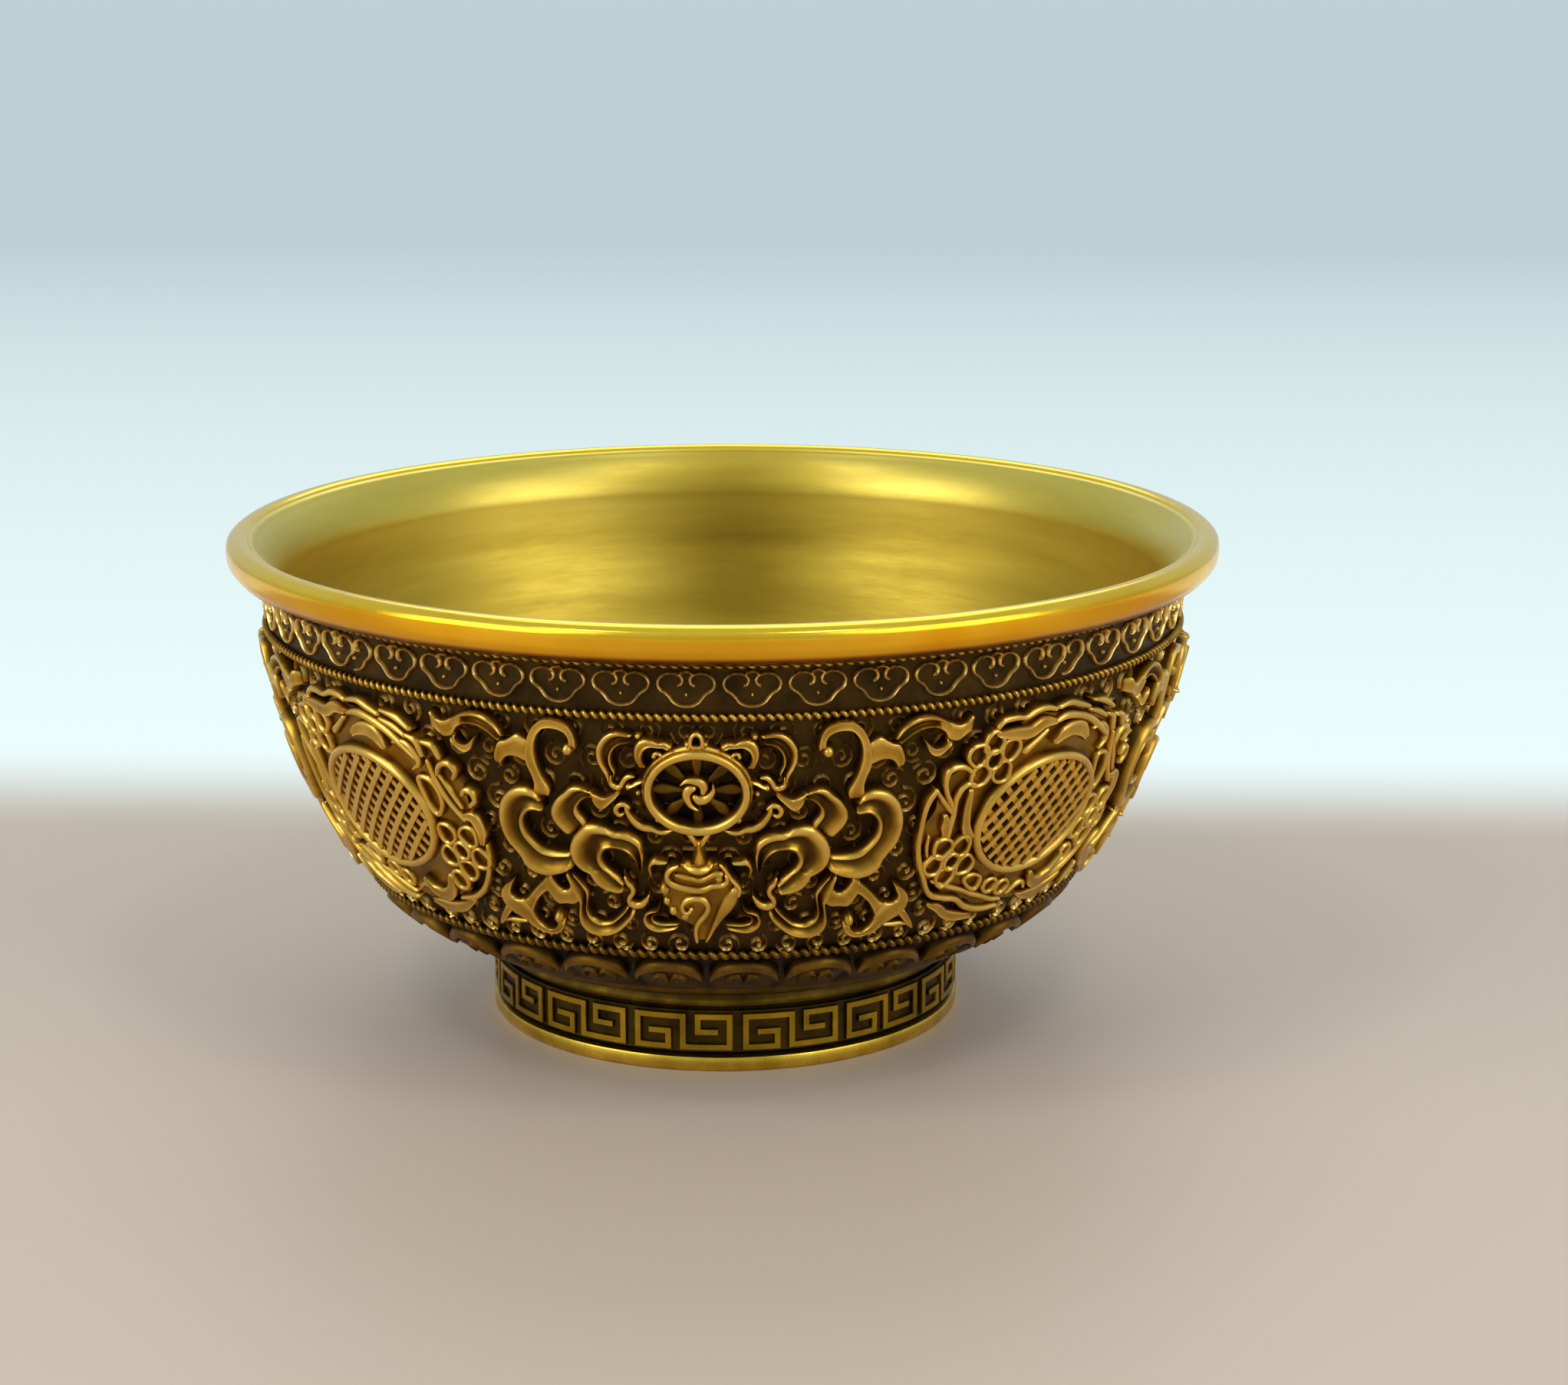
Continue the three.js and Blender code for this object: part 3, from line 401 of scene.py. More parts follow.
# Ribbons of the right half of a panel: cross-section, height, and the outer and inner edge points of each row
RIBBONS = [
    ("channel", 2.0, [
        (17.3, 7.4, 17.3, 5.9), (17.9, 8.2, 17.7, 5.75), (19.4, 8.68, 18.6, 5.75), (20.9, 8.25, 19.4, 5.35),
        (22.2, 7.1, 19.95, 4.6), (22.95, 5.5, 20.1, 3.8), (23.15, 3.8, 20, 3.1), (22.75, 2, 19.7, 2.5),
        (21.9, 0.8, 19.3, 2), (21.4, 0, 18.9, 1.6), (21.1, -1.1, 18.4, 1.3), (20, -1.9, 17.8, 1.1),
        (18.8, -2.12, 17.1, 1), (17.4, -1.9, 16.5, 0.98), (16.1, -1.45, 15.8, 1), (14.7, -0.6, 14.7, 1.1)]),
    ("channel", 1.8, [
        (11.2, 8.6, 11.4, 7.9), (12.1, 9.05, 11.9, 7.9), (13, 9.25, 12.4, 7.6), (13.9, 9.05, 12.8, 7.25),
        (14.7, 8.35, 13.05, 6.9), (15.5, 7.75, 13.2, 6.6), (16.1, 7.05, 13.22, 6.35), (16.5, 6.3, 13.2, 6.1),
        (16.65, 5.6, 13.1, 5.8), (16.4, 4.8, 12.9, 5.5), (15.8, 4, 12.6, 5.1), (14.9, 3.1, 12.3, 4.4)]),
    ("flat", 1.75, [
        (8.2, 9, 8.2, 8.75), (8.8, 8.8, 8.7, 8.2), (9.5, 8.4, 9.3, 7.6), (10.2, 8.15, 9.95, 6.95),
        (10.8, 8.35, 10.5, 6.6), (11.4, 8.65, 11, 7.1), (12, 9, 11.6, 8.05)]),
    ("channel", 2.15, [
        (6.75, -0.9, 6.85, -0.8), (6.35, 0.7, 7.05, -0.1), (6.2, 2, 7.35, 0.65), (6.4, 3.3, 7.8, 1.25),
        (7.2, 3.9, 8.3, 1.7), (8.4, 4.25, 8.9, 1.98), (9.4, 4.3, 9.4, 2.05), (10.4, 4.8, 9.9, 2.02),
        (11.5, 5, 10.35, 1.85), (12.6, 4.9, 10.7, 1.6), (13.5, 4.15, 10.95, 1.25), (14.4, 3.2, 11.1, 0.85),
        (14.95, 1.9, 11.1, 0.45), (14.9, 0.6, 10.95, 0.05), (14.2, -0.45, 10.65, -0.4), (13.1, -1, 10.2, -0.8),
        (12.65, -2, 9.8, -1.15), (11.9, -2.8, 9.4, -1.5), (10.6, -3.15, 9.15, -1.9), (9, -3.3, 8.9, -2.3)]),
    ("flat", 1.6, [
        (12.75, 12.9, 13.55, 13.4), (12.58, 13.8, 13.42, 13.9), (12.8, 14.8, 13.55, 14.5), (13.4, 15.65, 14, 14.9),
        (14.3, 16.05, 14.7, 15.12), (15.3, 16.2, 15.4, 15.15), (16.2, 16.1, 16.05, 15.05), (17.1, 15.5, 16.6, 14.6),
        (17.9, 14.4, 17.05, 13.9), (18.3, 13.2, 17.3, 13), (18.6, 12.2, 17.32, 12), (18.5, 11.2, 17.15, 11.1),
        (18.1, 10.1, 16.85, 10.1), (17.95, 9.2, 16.5, 9.3), (18.1, 8.2, 16.1, 8.4), (18.1, 7.4, 16.4, 7.4)]),
    ("flat", 1.58, [
        (17.9, 13.6, 17.9, 11.3), (18.6, 14.05, 18.6, 11.4), (19.3, 14.35, 19.2, 11.65), (20, 13.95, 19.8, 11.82),
        (20.7, 13.55, 20.4, 11.8), (21.5, 13.35, 20.9, 11.55), (21.95, 12.6, 21.25, 11.15),
        (22.2, 11.5, 21.35, 10.8), (21.9, 10.8, 21.25, 10.4)]),
    ("channel", 1.6, [
        (20.8, 13.8, 21.5, 13.2), (21.5, 14.9, 22.1, 13.5), (22.5, 15.65, 22.9, 14), (23.6, 16, 23.8, 14.4),
        (24.8, 16.05, 24.8, 14.58), (26, 15.7, 25.8, 14.45), (27, 15.2, 26.6, 13.95), (27.8, 14.85, 27.2, 13.2)]),
    ("flat", 1.55, [
        (25.8, 15.5, 26, 14.5), (27, 15.2, 26.6, 13.95), (27.8, 14.85, 27.2, 13.2), (28.5, 14.7, 28.2, 12.95),
        (29.2, 14.95, 28.8, 13.3), (29.8, 15.5, 29.5, 13.65), (30.3, 15.3, 30.3, 13.8)]),
    ("flat", 1.6, [
        (27.9, 12.95, 26.9, 13.6), (27.2, 12.4, 26.85, 12.9), (26.5, 11.8, 26.3, 12.55), (25.8, 11.6, 25.7, 12.55),
        (25.1, 11.95, 25.15, 12.8), (24.65, 12.6, 24.75, 13.1), (24.4, 13.4, 24.45, 13.4)]),
    ("channel", 1.7, [
        (16.2, -1.5, 15.4, -1.5), (15.95, -2.6, 14.5, -2.5), (15.9, -3.3, 13.85, -3.5), (15.5, -4.3, 13.7, -4.3),
        (15.15, -5.2, 14, -5.2), (15.35, -6.2, 14.28, -6.1), (15.7, -7.5, 14.2, -7), (15.65, -8.6, 13.9, -7.55),
        (15, -9.5, 13.35, -7.9), (13.9, -9.87, 12.8, -8.05), (12.7, -9.85, 12.2, -7.98), (11.5, -9.5, 11.5, -7.75),
        (10.4, -8.85, 10.8, -7.25), (9.4, -8, 10.1, -6.6), (8.6, -7.1, 9.4, -5.85), (8.1, -6.3, 8.9, -5.2)]),
    ("flat", 1.5, [
        (15, -4.2, 15.9, -2.9), (15.1, -5.3, 16, -3.4), (15.7, -5.7, 16.3, -3.75), (16.9, -5.8, 16.8, -3.95),
        (18.2, -5.9, 17.3, -3.75), (18.75, -5.1, 17.7, -3.2), (19.2, -4.2, 17.95, -2.6), (19.2, -2.6, 18, -2)]),
    ("flat", 1.6, [
        (18.6, -2.2, 18.6, -4.2), (19.3, -2.9, 19.3, -4.4), (20.1, -3.5, 20.1, -5.05), (20.9, -4.2, 20.8, -5.75),
        (21.7, -5, 21.35, -6.55), (22.5, -5.7, 21.8, -7.4), (23.3, -6.05, 21.95, -8.1)]),
    ("flat", 1.58, [
        (23.65, -3.55, 23.75, -3.65), (24.5, -3.9, 24, -4.35), (25.3, -4.5, 24.35, -4.95), (25.95, -5.2, 24.5, -5.5),
        (26.22, -6.1, 24.3, -5.9), (26.1, -7.1, 23.6, -6.05), (25.5, -7.9, 22.7, -6.1), (24.5, -8.45, 21.9, -7.2),
        (23.6, -8.95, 21.9, -8.1), (22.7, -9.7, 21.6, -8.9), (21.6, -10.15, 21.1, -9.4), (20.4, -10.35, 20.5, -9.65),
        (19.4, -10.2, 19.8, -9.55), (18.6, -9.7, 19.3, -9.2), (18, -9, 19, -8.8), (17.9, -8.2, 18.9, -8.4)]),
    ("channel", 1.6, [
        (4.95, -4.3, 4.65, -4.4), (5.1, -5.2, 4.75, -5.5), (5.6, -5.75, 5, -6.15), (6.3, -5.9, 5.5, -6.5),
        (7.05, -6.3, 5.95, -6.8), (7.4, -7.1, 6.05, -7.15), (7.25, -7.9, 5.85, -7.5), (6.7, -8.5, 5.3, -7.7),
        (5.8, -8.8, 4.6, -7.75), (4.8, -8.7, 3.9, -7.7), (3.8, -8.4, 3.2, -7.65), (2.9, -8.1, 2.7, -7.6)]),
    ("channel", 1.7, [
        (6.4, 15, 6.9, 14.05), (7.2, 15.2, 7.4, 13.98), (8.1, 15.36, 7.9, 13.85), (9, 15.2, 8.35, 13.55),
        (9.8, 14.65, 8.7, 13.15), (10.35, 13.95, 8.9, 12.7), (10.62, 13.1, 8.97, 12.25), (10.5, 12.2, 8.93, 11.75),
        (10.15, 11.4, 8.75, 11.3), (9.75, 10.7, 8.6, 10.9), (9.5, 10, 8.85, 10.35), (9.4, 9.4, 9.1, 9.7)]),
    ("tube", 1.8, [
        (2.35, 13.7, 2.75, 13.4), (2.7, 14.25, 3.1, 13.6), (3.3, 14.5, 3.5, 13.72), (3.9, 14.4, 4, 13.75),
        (4.6, 14.65, 4.6, 13.76), (5.3, 14.75, 5, 13.62), (5.95, 14.6, 5.3, 13.35), (6.4, 14.1, 5.5, 13),
        (6.6, 13.4, 5.6, 12.7), (6.55, 12.7, 5.55, 12.3), (6.3, 12.05, 5.4, 11.95), (5.85, 11.4, 5.2, 11.6)]),
]

# Tendrils between the ribbons and the emblems: cross-section, height, and points with a half width
TENDRILS = [
    ("rounded", 1.4, [(9.25, 10.3, 0.28), (9.3, 9.6, 0.34), (8.8, 9.15, 0.38), (8.25, 9.25, 0.38), (7.9, 9.9, 0.38),
                      (7.35, 10.4, 0.36), (6.7, 10.5, 0.16)]),
    ("rounded", 1.35, [(7.5, 6.85, 0.26), (8.2, 7.2, 0.4), (8.85, 6.95, 0.44), (9.05, 6.3, 0.42), (8.65, 5.85, 0.34),
                       (8.3, 6.05, 0.24)]),
    ("rounded", 1.2, [(2.9, 4.3, 0.14), (3.6, 3.95, 0.34), (4.5, 3.95, 0.38), (5.2, 4.25, 0.44), (6, 4.3, 0.52),
                      (6.9, 4.75, 0.56), (7.45, 5.5, 0.48), (7.8, 6.2, 0.4), (7.9, 6.8, 0.3)]),
    ("dome", 1.4, [(3.9, 0.3, 0.3), (4.7, 0.25, 0.42), (5.3, 0.32, 0.54), (5.75, 0, 0.5), (5.85, -0.7, 0.4),
                   (5.65, -1.5, 0.24)]),
    ("rounded", 1.5, [(8.85, -1.75, 0.26), (8.65, -2.45, 0.42), (8.15, -3.05, 0.44), (8.2, -3.75, 0.4),
                      (8.7, -4.4, 0.4), (8.75, -5.1, 0.46), (8.1, -5.45, 0.54), (7.3, -5.25, 0.52),
                      (6.7, -4.65, 0.42), (6.2, -3.85, 0.16)]),
    ("flat", 1.4, [(26, -7.9, 0.5), (26.9, -8.8, 0.42), (27.7, -9.7, 0.3), (28.2, -10.2, 0.1)]),
    ("rounded", 1.2, [(23.9, -9.4, 0.25), (25.2, -9.6, 0.36), (26.6, -9.6, 0.36), (27.6, -9.8, 0.25)]),
    ("rounded", 1.5, [(3.65, 12.5, 0.22), (3.72, 12.95, 0.28), (4.05, 13.15, 0.32), (4.4, 13, 0.34)]),
]
BEADS = [("ball", 1.7, (13.75, 12.95, 0.86)), ("ball", 1.7, (18.75, -8.2, 0.94)), ("ball", 1.9, (6.02, 14.95, 0.5)),
         ("ball", 1.95, (2.8, 13.95, 0.48)), ("ball", 1.7, (4.45, 12.85, 0.46))]

# One cloud head of the upper border, right half, in millimetres from its middle
CLOUD_OUTLINE = [(0.8, 1.12), (0.52, 1.28), (0.4, 1.65), (0.55, 2.1), (1, 2.4), (1.5, 2.5), (2.1, 2.42), (2.65, 2.1),
                 (2.98, 1.55), (2.98, 1), (2.7, 0.55), (2.2, 0.22), (1.85, -0.15), (1.45, -0.7), (0.95, -1.05),
                 (0.4, -1.22), (0, -1.25)]
CLOUD_LINE = 0.22
CLOUD_HIGH = 0.55
CLOUD_COUNT = 13
CLOUD_PITCH = math.radians(7.235)
CLOUD_FIRST = math.radians(-44.5)
CLOUD_AT = LENGTH - 3.5

# Ground scrolls: a comma that curls inwards, drawn round its own middle
SCROLL_RADIUS = 1.72
SCROLL_HIGH = 0.45
SCROLL_TURNS = 1.45
# Their rows and columns: how many, from what height, how far out, and clear of what ellipse round a medallion
SCROLL_PITCH = (4.05, 2.95)
SCROLL_GRID = (10, 10)
SCROLL_TOP = 14.9
SCROLL_LAST = 40.5
SCROLL_CLEAR = (15.9, 11.4)

# A medallion's wreath: cross-section, height and line, from the seam and the middle of the field
WREATH = [
    ("rounded", 1.6, [(-15.7, 7.5, 0.25), (-16.4, 6.3, 0.34), (-16.75, 3.1, 0.36), (-16.6, 0.7, 0.36),
                      (-15.8, -1.65, 0.36), (-14.5, -4, 0.34), (-13.8, -5.2, 0.34), (-12.6, -6.1, 0.3)]),
    ("rounded", 1.6, [(-15.7, 7.5, 0.25), (-14.6, 6.2, 0.34), (-13, 4.5, 0.3)]),
    ("rounded", 1.7, [(-13, 4.8, 0.25), (-13.5, 5.7, 0.3), (-14.4, 7.2, 0.32), (-14.8, 8.6, 0.34),
                      (-14.6, 9.6, 0.34), (-13.6, 10, 0.34), (-12.3, 9.7, 0.34), (-11.4, 8.9, 0.25)]),
    ("rounded", 1.4, [(-15.5, 1.9, 0.2), (-15.4, 0.6, 0.28), (-15.1, -0.6, 0.2)]),
    ("rounded", 1.7, [(-13, 1.6, 0.25), (-12.9, 4.2, 0.32), (-12.9, 6.6, 0.32), (-12.4, 7.5, 0.32),
                      (-11.6, 7.9, 0.32), (-10.8, 7.6, 0.25)]),
    ("flat", 1.7, [(-11.4, 7, 0.25), (-11.35, 5.6, 0.36), (-11.2, 4, 0.42), (-10.7, 2.3, 0.5), (-9.8, 1.1, 0.5)]),
    ("flat", 1.5, [(-13.9, 4.2, 0.25), (-13.5, 3, 0.6), (-13.4, 1.4, 0.2)]),
    ("rounded", 1.6, [(-14.35, -4.3, 0.25), (-13.2, -5.8, 0.36), (-11.1, -6.6, 0.36), (-8.8, -7.2, 0.38),
                      (-7, -8.4, 0.4), (-5.2, -9.1, 0.4), (-3.2, -9.5, 0.36), (-0.8, -9.5, 0.25)]),
    ("flat", 1.6, [(-12.9, -7.2, 0.2), (-11.4, -7.8, 0.45), (-9.9, -8.9, 0.5), (-7.9, -9.6, 0.5), (-5.2, -9.9, 0.2)]),
    ("rounded", 1.5, [(-13.5, -4, 0.2), (-11.1, -5, 0.3), (-8.2, -6.06, 0.32), (-6.4, -6.9, 0.32),
                      (-4.35, -7.6, 0.32), (-2.3, -8.4, 0.32), (-0.5, -8.7, 0.2)]),
    ("rounded", 1.6, [(-9.06, 13.7, 0.25), (-8.5, 14.2, 0.34), (-7, 14.4, 0.36), (-5.2, 14.3, 0.3),
                      (-4.06, 14.7, 0.36), (-2.3, 14.8, 0.36), (-1.1, 14.5, 0.28)]),
    ("rounded", 1.6, [(-0.5, 14.6, 0.28), (1.2, 14.8, 0.36), (3, 14.3, 0.36), (4.5, 13.9, 0.28)]),
    ("flat", 1.9, [(-9.06, 13.1, 0.25), (-7, 12.9, 0.5), (-4.65, 12.8, 0.55), (-2.9, 13.5, 0.5), (-1.1, 13.4, 0.25)]),
    ("rounded", 1.7, [(-0.8, 13.2, 0.25), (0.65, 13.5, 0.4), (3, 13.2, 0.42), (5.35, 12.4, 0.42), (7.4, 11.2, 0.4),
                      (9.3, 9.9, 0.25)]),
    ("rounded", 1.6, [(-4.65, 10.5, 0.45), (-3.2, 11.5, 0.36), (-2, 12.4, 0.3)]),
    ("flat", 1.8, [(-0.5, 11, 0.25), (0.65, 11.7, 0.55), (2.1, 12, 0.65), (3.9, 11.5, 0.65), (4.8, 10.5, 0.3)]),
    ("rounded", 1.7, [(5.2, 14.5, 0.2), (7.4, 14, 0.38), (9.2, 13.1, 0.28)]),
    ("rounded", 1.6, [(4.8, 13.5, 0.2), (6.5, 13, 0.36), (8.3, 12.2, 0.26)]),
    ("rounded", 1.6, [(6.2, 11.2, 0.2), (7.7, 11.4, 0.34), (9.2, 10.4, 0.34), (9.5, 9.3, 0.32), (8.5, 8.5, 0.2)]),
    ("rounded", 1.7, [(8.5, 12.4, 0.2), (9.8, 11.8, 0.36), (10.35, 10.4, 0.28)]),
    ("rounded", 1.6, [(10.6, 11.9, 0.25), (12.1, 11.5, 0.38), (12.7, 10.4, 0.28)]),
    ("rounded", 1.7, [(12, 8.5, 0.25), (12.4, 9.4, 0.34), (13.9, 9.9, 0.36), (14.6, 9.1, 0.34), (14.2, 8.35, 0.3)]),
    ("rounded", 1.6, [(10.9, 9.8, 0.2), (11.5, 7.5, 0.32), (12.7, 5.1, 0.32), (14.2, 3.35, 0.25)]),
    ("rounded", 1.5, [(12.1, 8.35, 0.2), (13.3, 6.3, 0.3), (14.2, 4.8, 0.22)]),
    ("rounded", 1.7, [(14.8, 6.5, 0.25), (15.3, 7.1, 0.34), (16.2, 6.9, 0.36), (16.4, 6, 0.34), (15.65, 5.3, 0.28)]),
    ("flat", 1.6, [(14.4, 3.9, 0.25), (15.5, 3.8, 0.55), (16.2, 2.4, 0.6), (15.9, 0.6, 0.25)]),
    ("rounded", 1.5, [(16.4, 0.4, 0.25), (16.1, -1.4, 0.36), (15.4, -3, 0.36), (14.6, -4.4, 0.36),
                      (13.3, -5.9, 0.38), (11.2, -7.2, 0.38), (9.03, -7.6, 0.25)]),
    ("flat", 1.7, [(3.5, -5.9, 0.2), (4.6, -7.2, 0.55), (6.2, -7.6, 0.7), (7.9, -6.7, 0.6), (8.9, -4.6, 0.25)]),
    ("flat", 1.6, [(3.2, -8.9, 0.2), (5, -9.2, 0.55), (7, -9.2, 0.6), (9.2, -8.6, 0.5), (11.2, -7.6, 0.2)]),
    ("rounded", 1.4, [(0.6, -8.2, 0.2), (2, -7.3, 0.32), (3.2, -7.2, 0.3), (3.9, -8.1, 0.2)]),
]
WREATH_LOOPS = [
    (1.6, 0.3, [(8.9, 7.6), (10.6, 7.5), (11.5, 6), (11.2, 4.2), (10.35, 3.35), (9.6, 3.9), (9, 5.7)]),
    (1.5, 0.28, [(9, -5), (9.7, -6.1), (10.9, -5.9), (11.4, -4.9), (10.7, -3.9), (9.5, -4)]),
    (1.5, 0.28, [(-8.5, -4.4), (-7.5, -5.7), (-6, -6.2), (-5.8, -4.9), (-7.2, -4.1)]),
    (1.4, 0.26, [(-4.6, -5.8), (-4.2, -7), (-3, -7.2), (-2.4, -6.2), (-3.4, -5.4)]),
    (1.4, 0.26, [(-2, -6.4), (-1.9, -7.6), (-0.7, -7.9), (0.1, -7), (-0.8, -6.1)]),
]
# Blossoms: middle and radius of the core, and the middles of the petals round it
BLOSSOMS = [
    (-9.1, 10.3, 1.05, [(-9.35, 12.1), (-11.2, 11), (-6.95, 11.1), (-10.5, 8.65), (-7.6, 8.65)]),
    (-11.7, -1.5, 1.0, [(-13.3, 0.3), (-10.7, 0.2), (-14.0, -1.8), (-9.45, -2.3), (-12, -3.5)]),
    (12.6, -0.6, 1.03, [(10.9, 1.2), (14.1, 1.3), (10.3, -1.65), (15.0, -1.35), (12.6, -3.1)]),
]
WREATH_WIDER = 1.3

# The medallion's parts, which are ovals round one middle height, and its lattice's bars
MEDALLION_MIDDLE = 2.45
MEDALLION_RADII = (17.0, 12.5)
RING_RADII = (9.1, 6.7)
LATTICE_RADII = (8.6, 6.2)
LATTICE_PITCH = 2.15
LATTICE_SHORTEST = 0.004

# The fret's pairs of spirals: their number, the turn of the first, their height on the foot and a bar's half width
FRET_COUNT = 14
FRET_FIRST = math.radians(-7)
FRET_MIDDLE = 4.85
FRET_HALF = 0.375


def cloud_heads(turn):
    """The border of cloud heads of one panel. The last head covers the first one of the next panel,
    so the first head shows only its right half."""
    right = [(x, y, CLOUD_LINE) for x, y in CLOUD_OUTLINE]
    left = [(-x, y, half) for x, y, half in right[-2::-1]]
    arch = [(-0.85, 2.3, 0.1), (-0.5, 2.58, CLOUD_LINE), (0, 2.68, CLOUD_LINE), (0.5, 2.58, CLOUD_LINE),
            (0.85, 2.3, 0.1)]
    heart = ("mound", CLOUD_HIGH, (0, 0.12, (0.2, 0.32)), dict(sides=6, shares=(0.6, 1)))
    half_head = [("wire", CLOUD_HIGH, right, dict(step=0.28)), heart]
    head = [("wire", CLOUD_HIGH, right + left, dict(step=0.28)), heart, ("wire", CLOUD_HIGH, arch, dict(step=0.35))]
    shapes = []
    for k in range(CLOUD_COUNT):
        shapes += drawn(band(turn + CLOUD_FIRST + k * CLOUD_PITCH, CLOUD_AT), head if k else half_head)
    return shapes


def scroll(x, y, size, hand, first, place):
    """A ground scroll: the radius falls evenly with the turn, to a small bead at the end."""
    t = np.linspace(0, 1, 14)
    turn = first + hand * t * SCROLL_TURNS * TAU
    radius = size * (1 - 0.8 * t**0.9)
    half = 0.23 + 0.1 * t**4
    x, y = x + radius * np.cos(turn), y + radius * np.sin(turn)
    ahead = np.stack([np.gradient(x), np.gradient(y)], 1)
    ahead /= np.hypot(*ahead.T)[:, None]
    return capped_tube(*swept(x, y, ahead, half, np.ones(len(t)), "ridge", SUNK, SCROLL_HIGH, place, 1))


def ground_scrolls(turn):
    """Rows of scrolls that fill a panel. Rows are staggered, and the curl changes hand from one to the next
    and mirrors about the middle. None lies under a medallion or under the middle of the emblems."""
    shapes = []
    pitch_x, pitch_y = SCROLL_PITCH
    clear_x, clear_y = SCROLL_CLEAR
    for place in (field(turn), field(turn, True)):
        for row, column in np.ndindex(SCROLL_GRID):
            x = (column + 0.5 * (row % 2) + 0.28) * pitch_x
            y = SCROLL_TOP - row * pitch_y
            from_medallion = np.hypot((x - FIELD_WIDTH / 2) / clear_x, (y - MEDALLION_MIDDLE) / clear_y)
            if x < SCROLL_LAST and from_medallion > 1:
                hand = 1 if (row + column) % 2 else -1
                size = SCROLL_RADIUS * (0.94 + 0.12 * math.sin(5.1 * row + 3.7 * column))
                shapes.append(scroll(x, y, size, hand, 1.3 * row + 2.1 * column, place))
    return shapes


def ripple(x, y):
    """Slow waves of hand-finished metal: a sum of four sines, between about -1 and 1."""
    return (np.sin(0.71 * x + 0.4) * np.cos(0.93 * y) + np.sin(1.37 * x - 0.8 * y + 1.9)
            + np.sin(0.33 * x + 1.21 * y + 4) + np.sin(2.3 * x + 1.7 * y)) / 3.2


def jacket(turn):
    """A quarter of the jacket: the ground surface, a little uneven, its inner skin, and their joined edges."""
    angle = turn + np.linspace(-1, 1, 97)[:, None] * (QUARTER / 2 - SEAM_ANGLE)
    along = np.linspace(LOWER_AT + 0.15, LENGTH, 60)
    outer = on_bowl(angle, along, 0.07 * ripple(angle * 50, along))
    inner = on_bowl(angle, along[::-1], -JACKET_WALL)
    points = np.concatenate([outer, inner], 1)
    rows, columns = points.shape[:2]
    i = np.arange(len(along) - 1)
    edge = np.stack([i, i + 1, columns - 2 - i, columns - 1 - i], 1)
    edge = np.concatenate([edge[:, [0, 2, 1]], edge[:, [0, 3, 2]]])
    faces = np.concatenate([weave(rows, columns, False, True), edge, (rows - 1) * columns + edge[:, ::-1]])
    return outward(points.reshape(-1, 3), faces, np.full(rows * columns, 0.1))


def rope(at, thickness, beads, worn, slices=6, sides=8):
    """A ring of slanting beads. A crest follows the cosine of half the turn round the wire plus the angle round
    the bowl times half the number of beads; under a third of its height it is a groove."""
    steps = beads * slices
    angle = np.arange(steps)[:, None] * TAU / steps
    around = np.arange(sides)[None] * TAU / sides
    crest = np.clip((np.abs(np.cos(around / 2 + beads / 2 * angle)) - 0.3) / 0.7, 0, 1) ** 0.55
    reach = thickness / 2 * (0.36 + 0.7 * crest)
    points = on_bowl(angle, at + reach * np.sin(around), thickness * 0.42 + reach * np.cos(around))
    return ring_solid(points, 0.02 + worn * crest**1.5)


# Emblems of the panels, as rows of a drawing

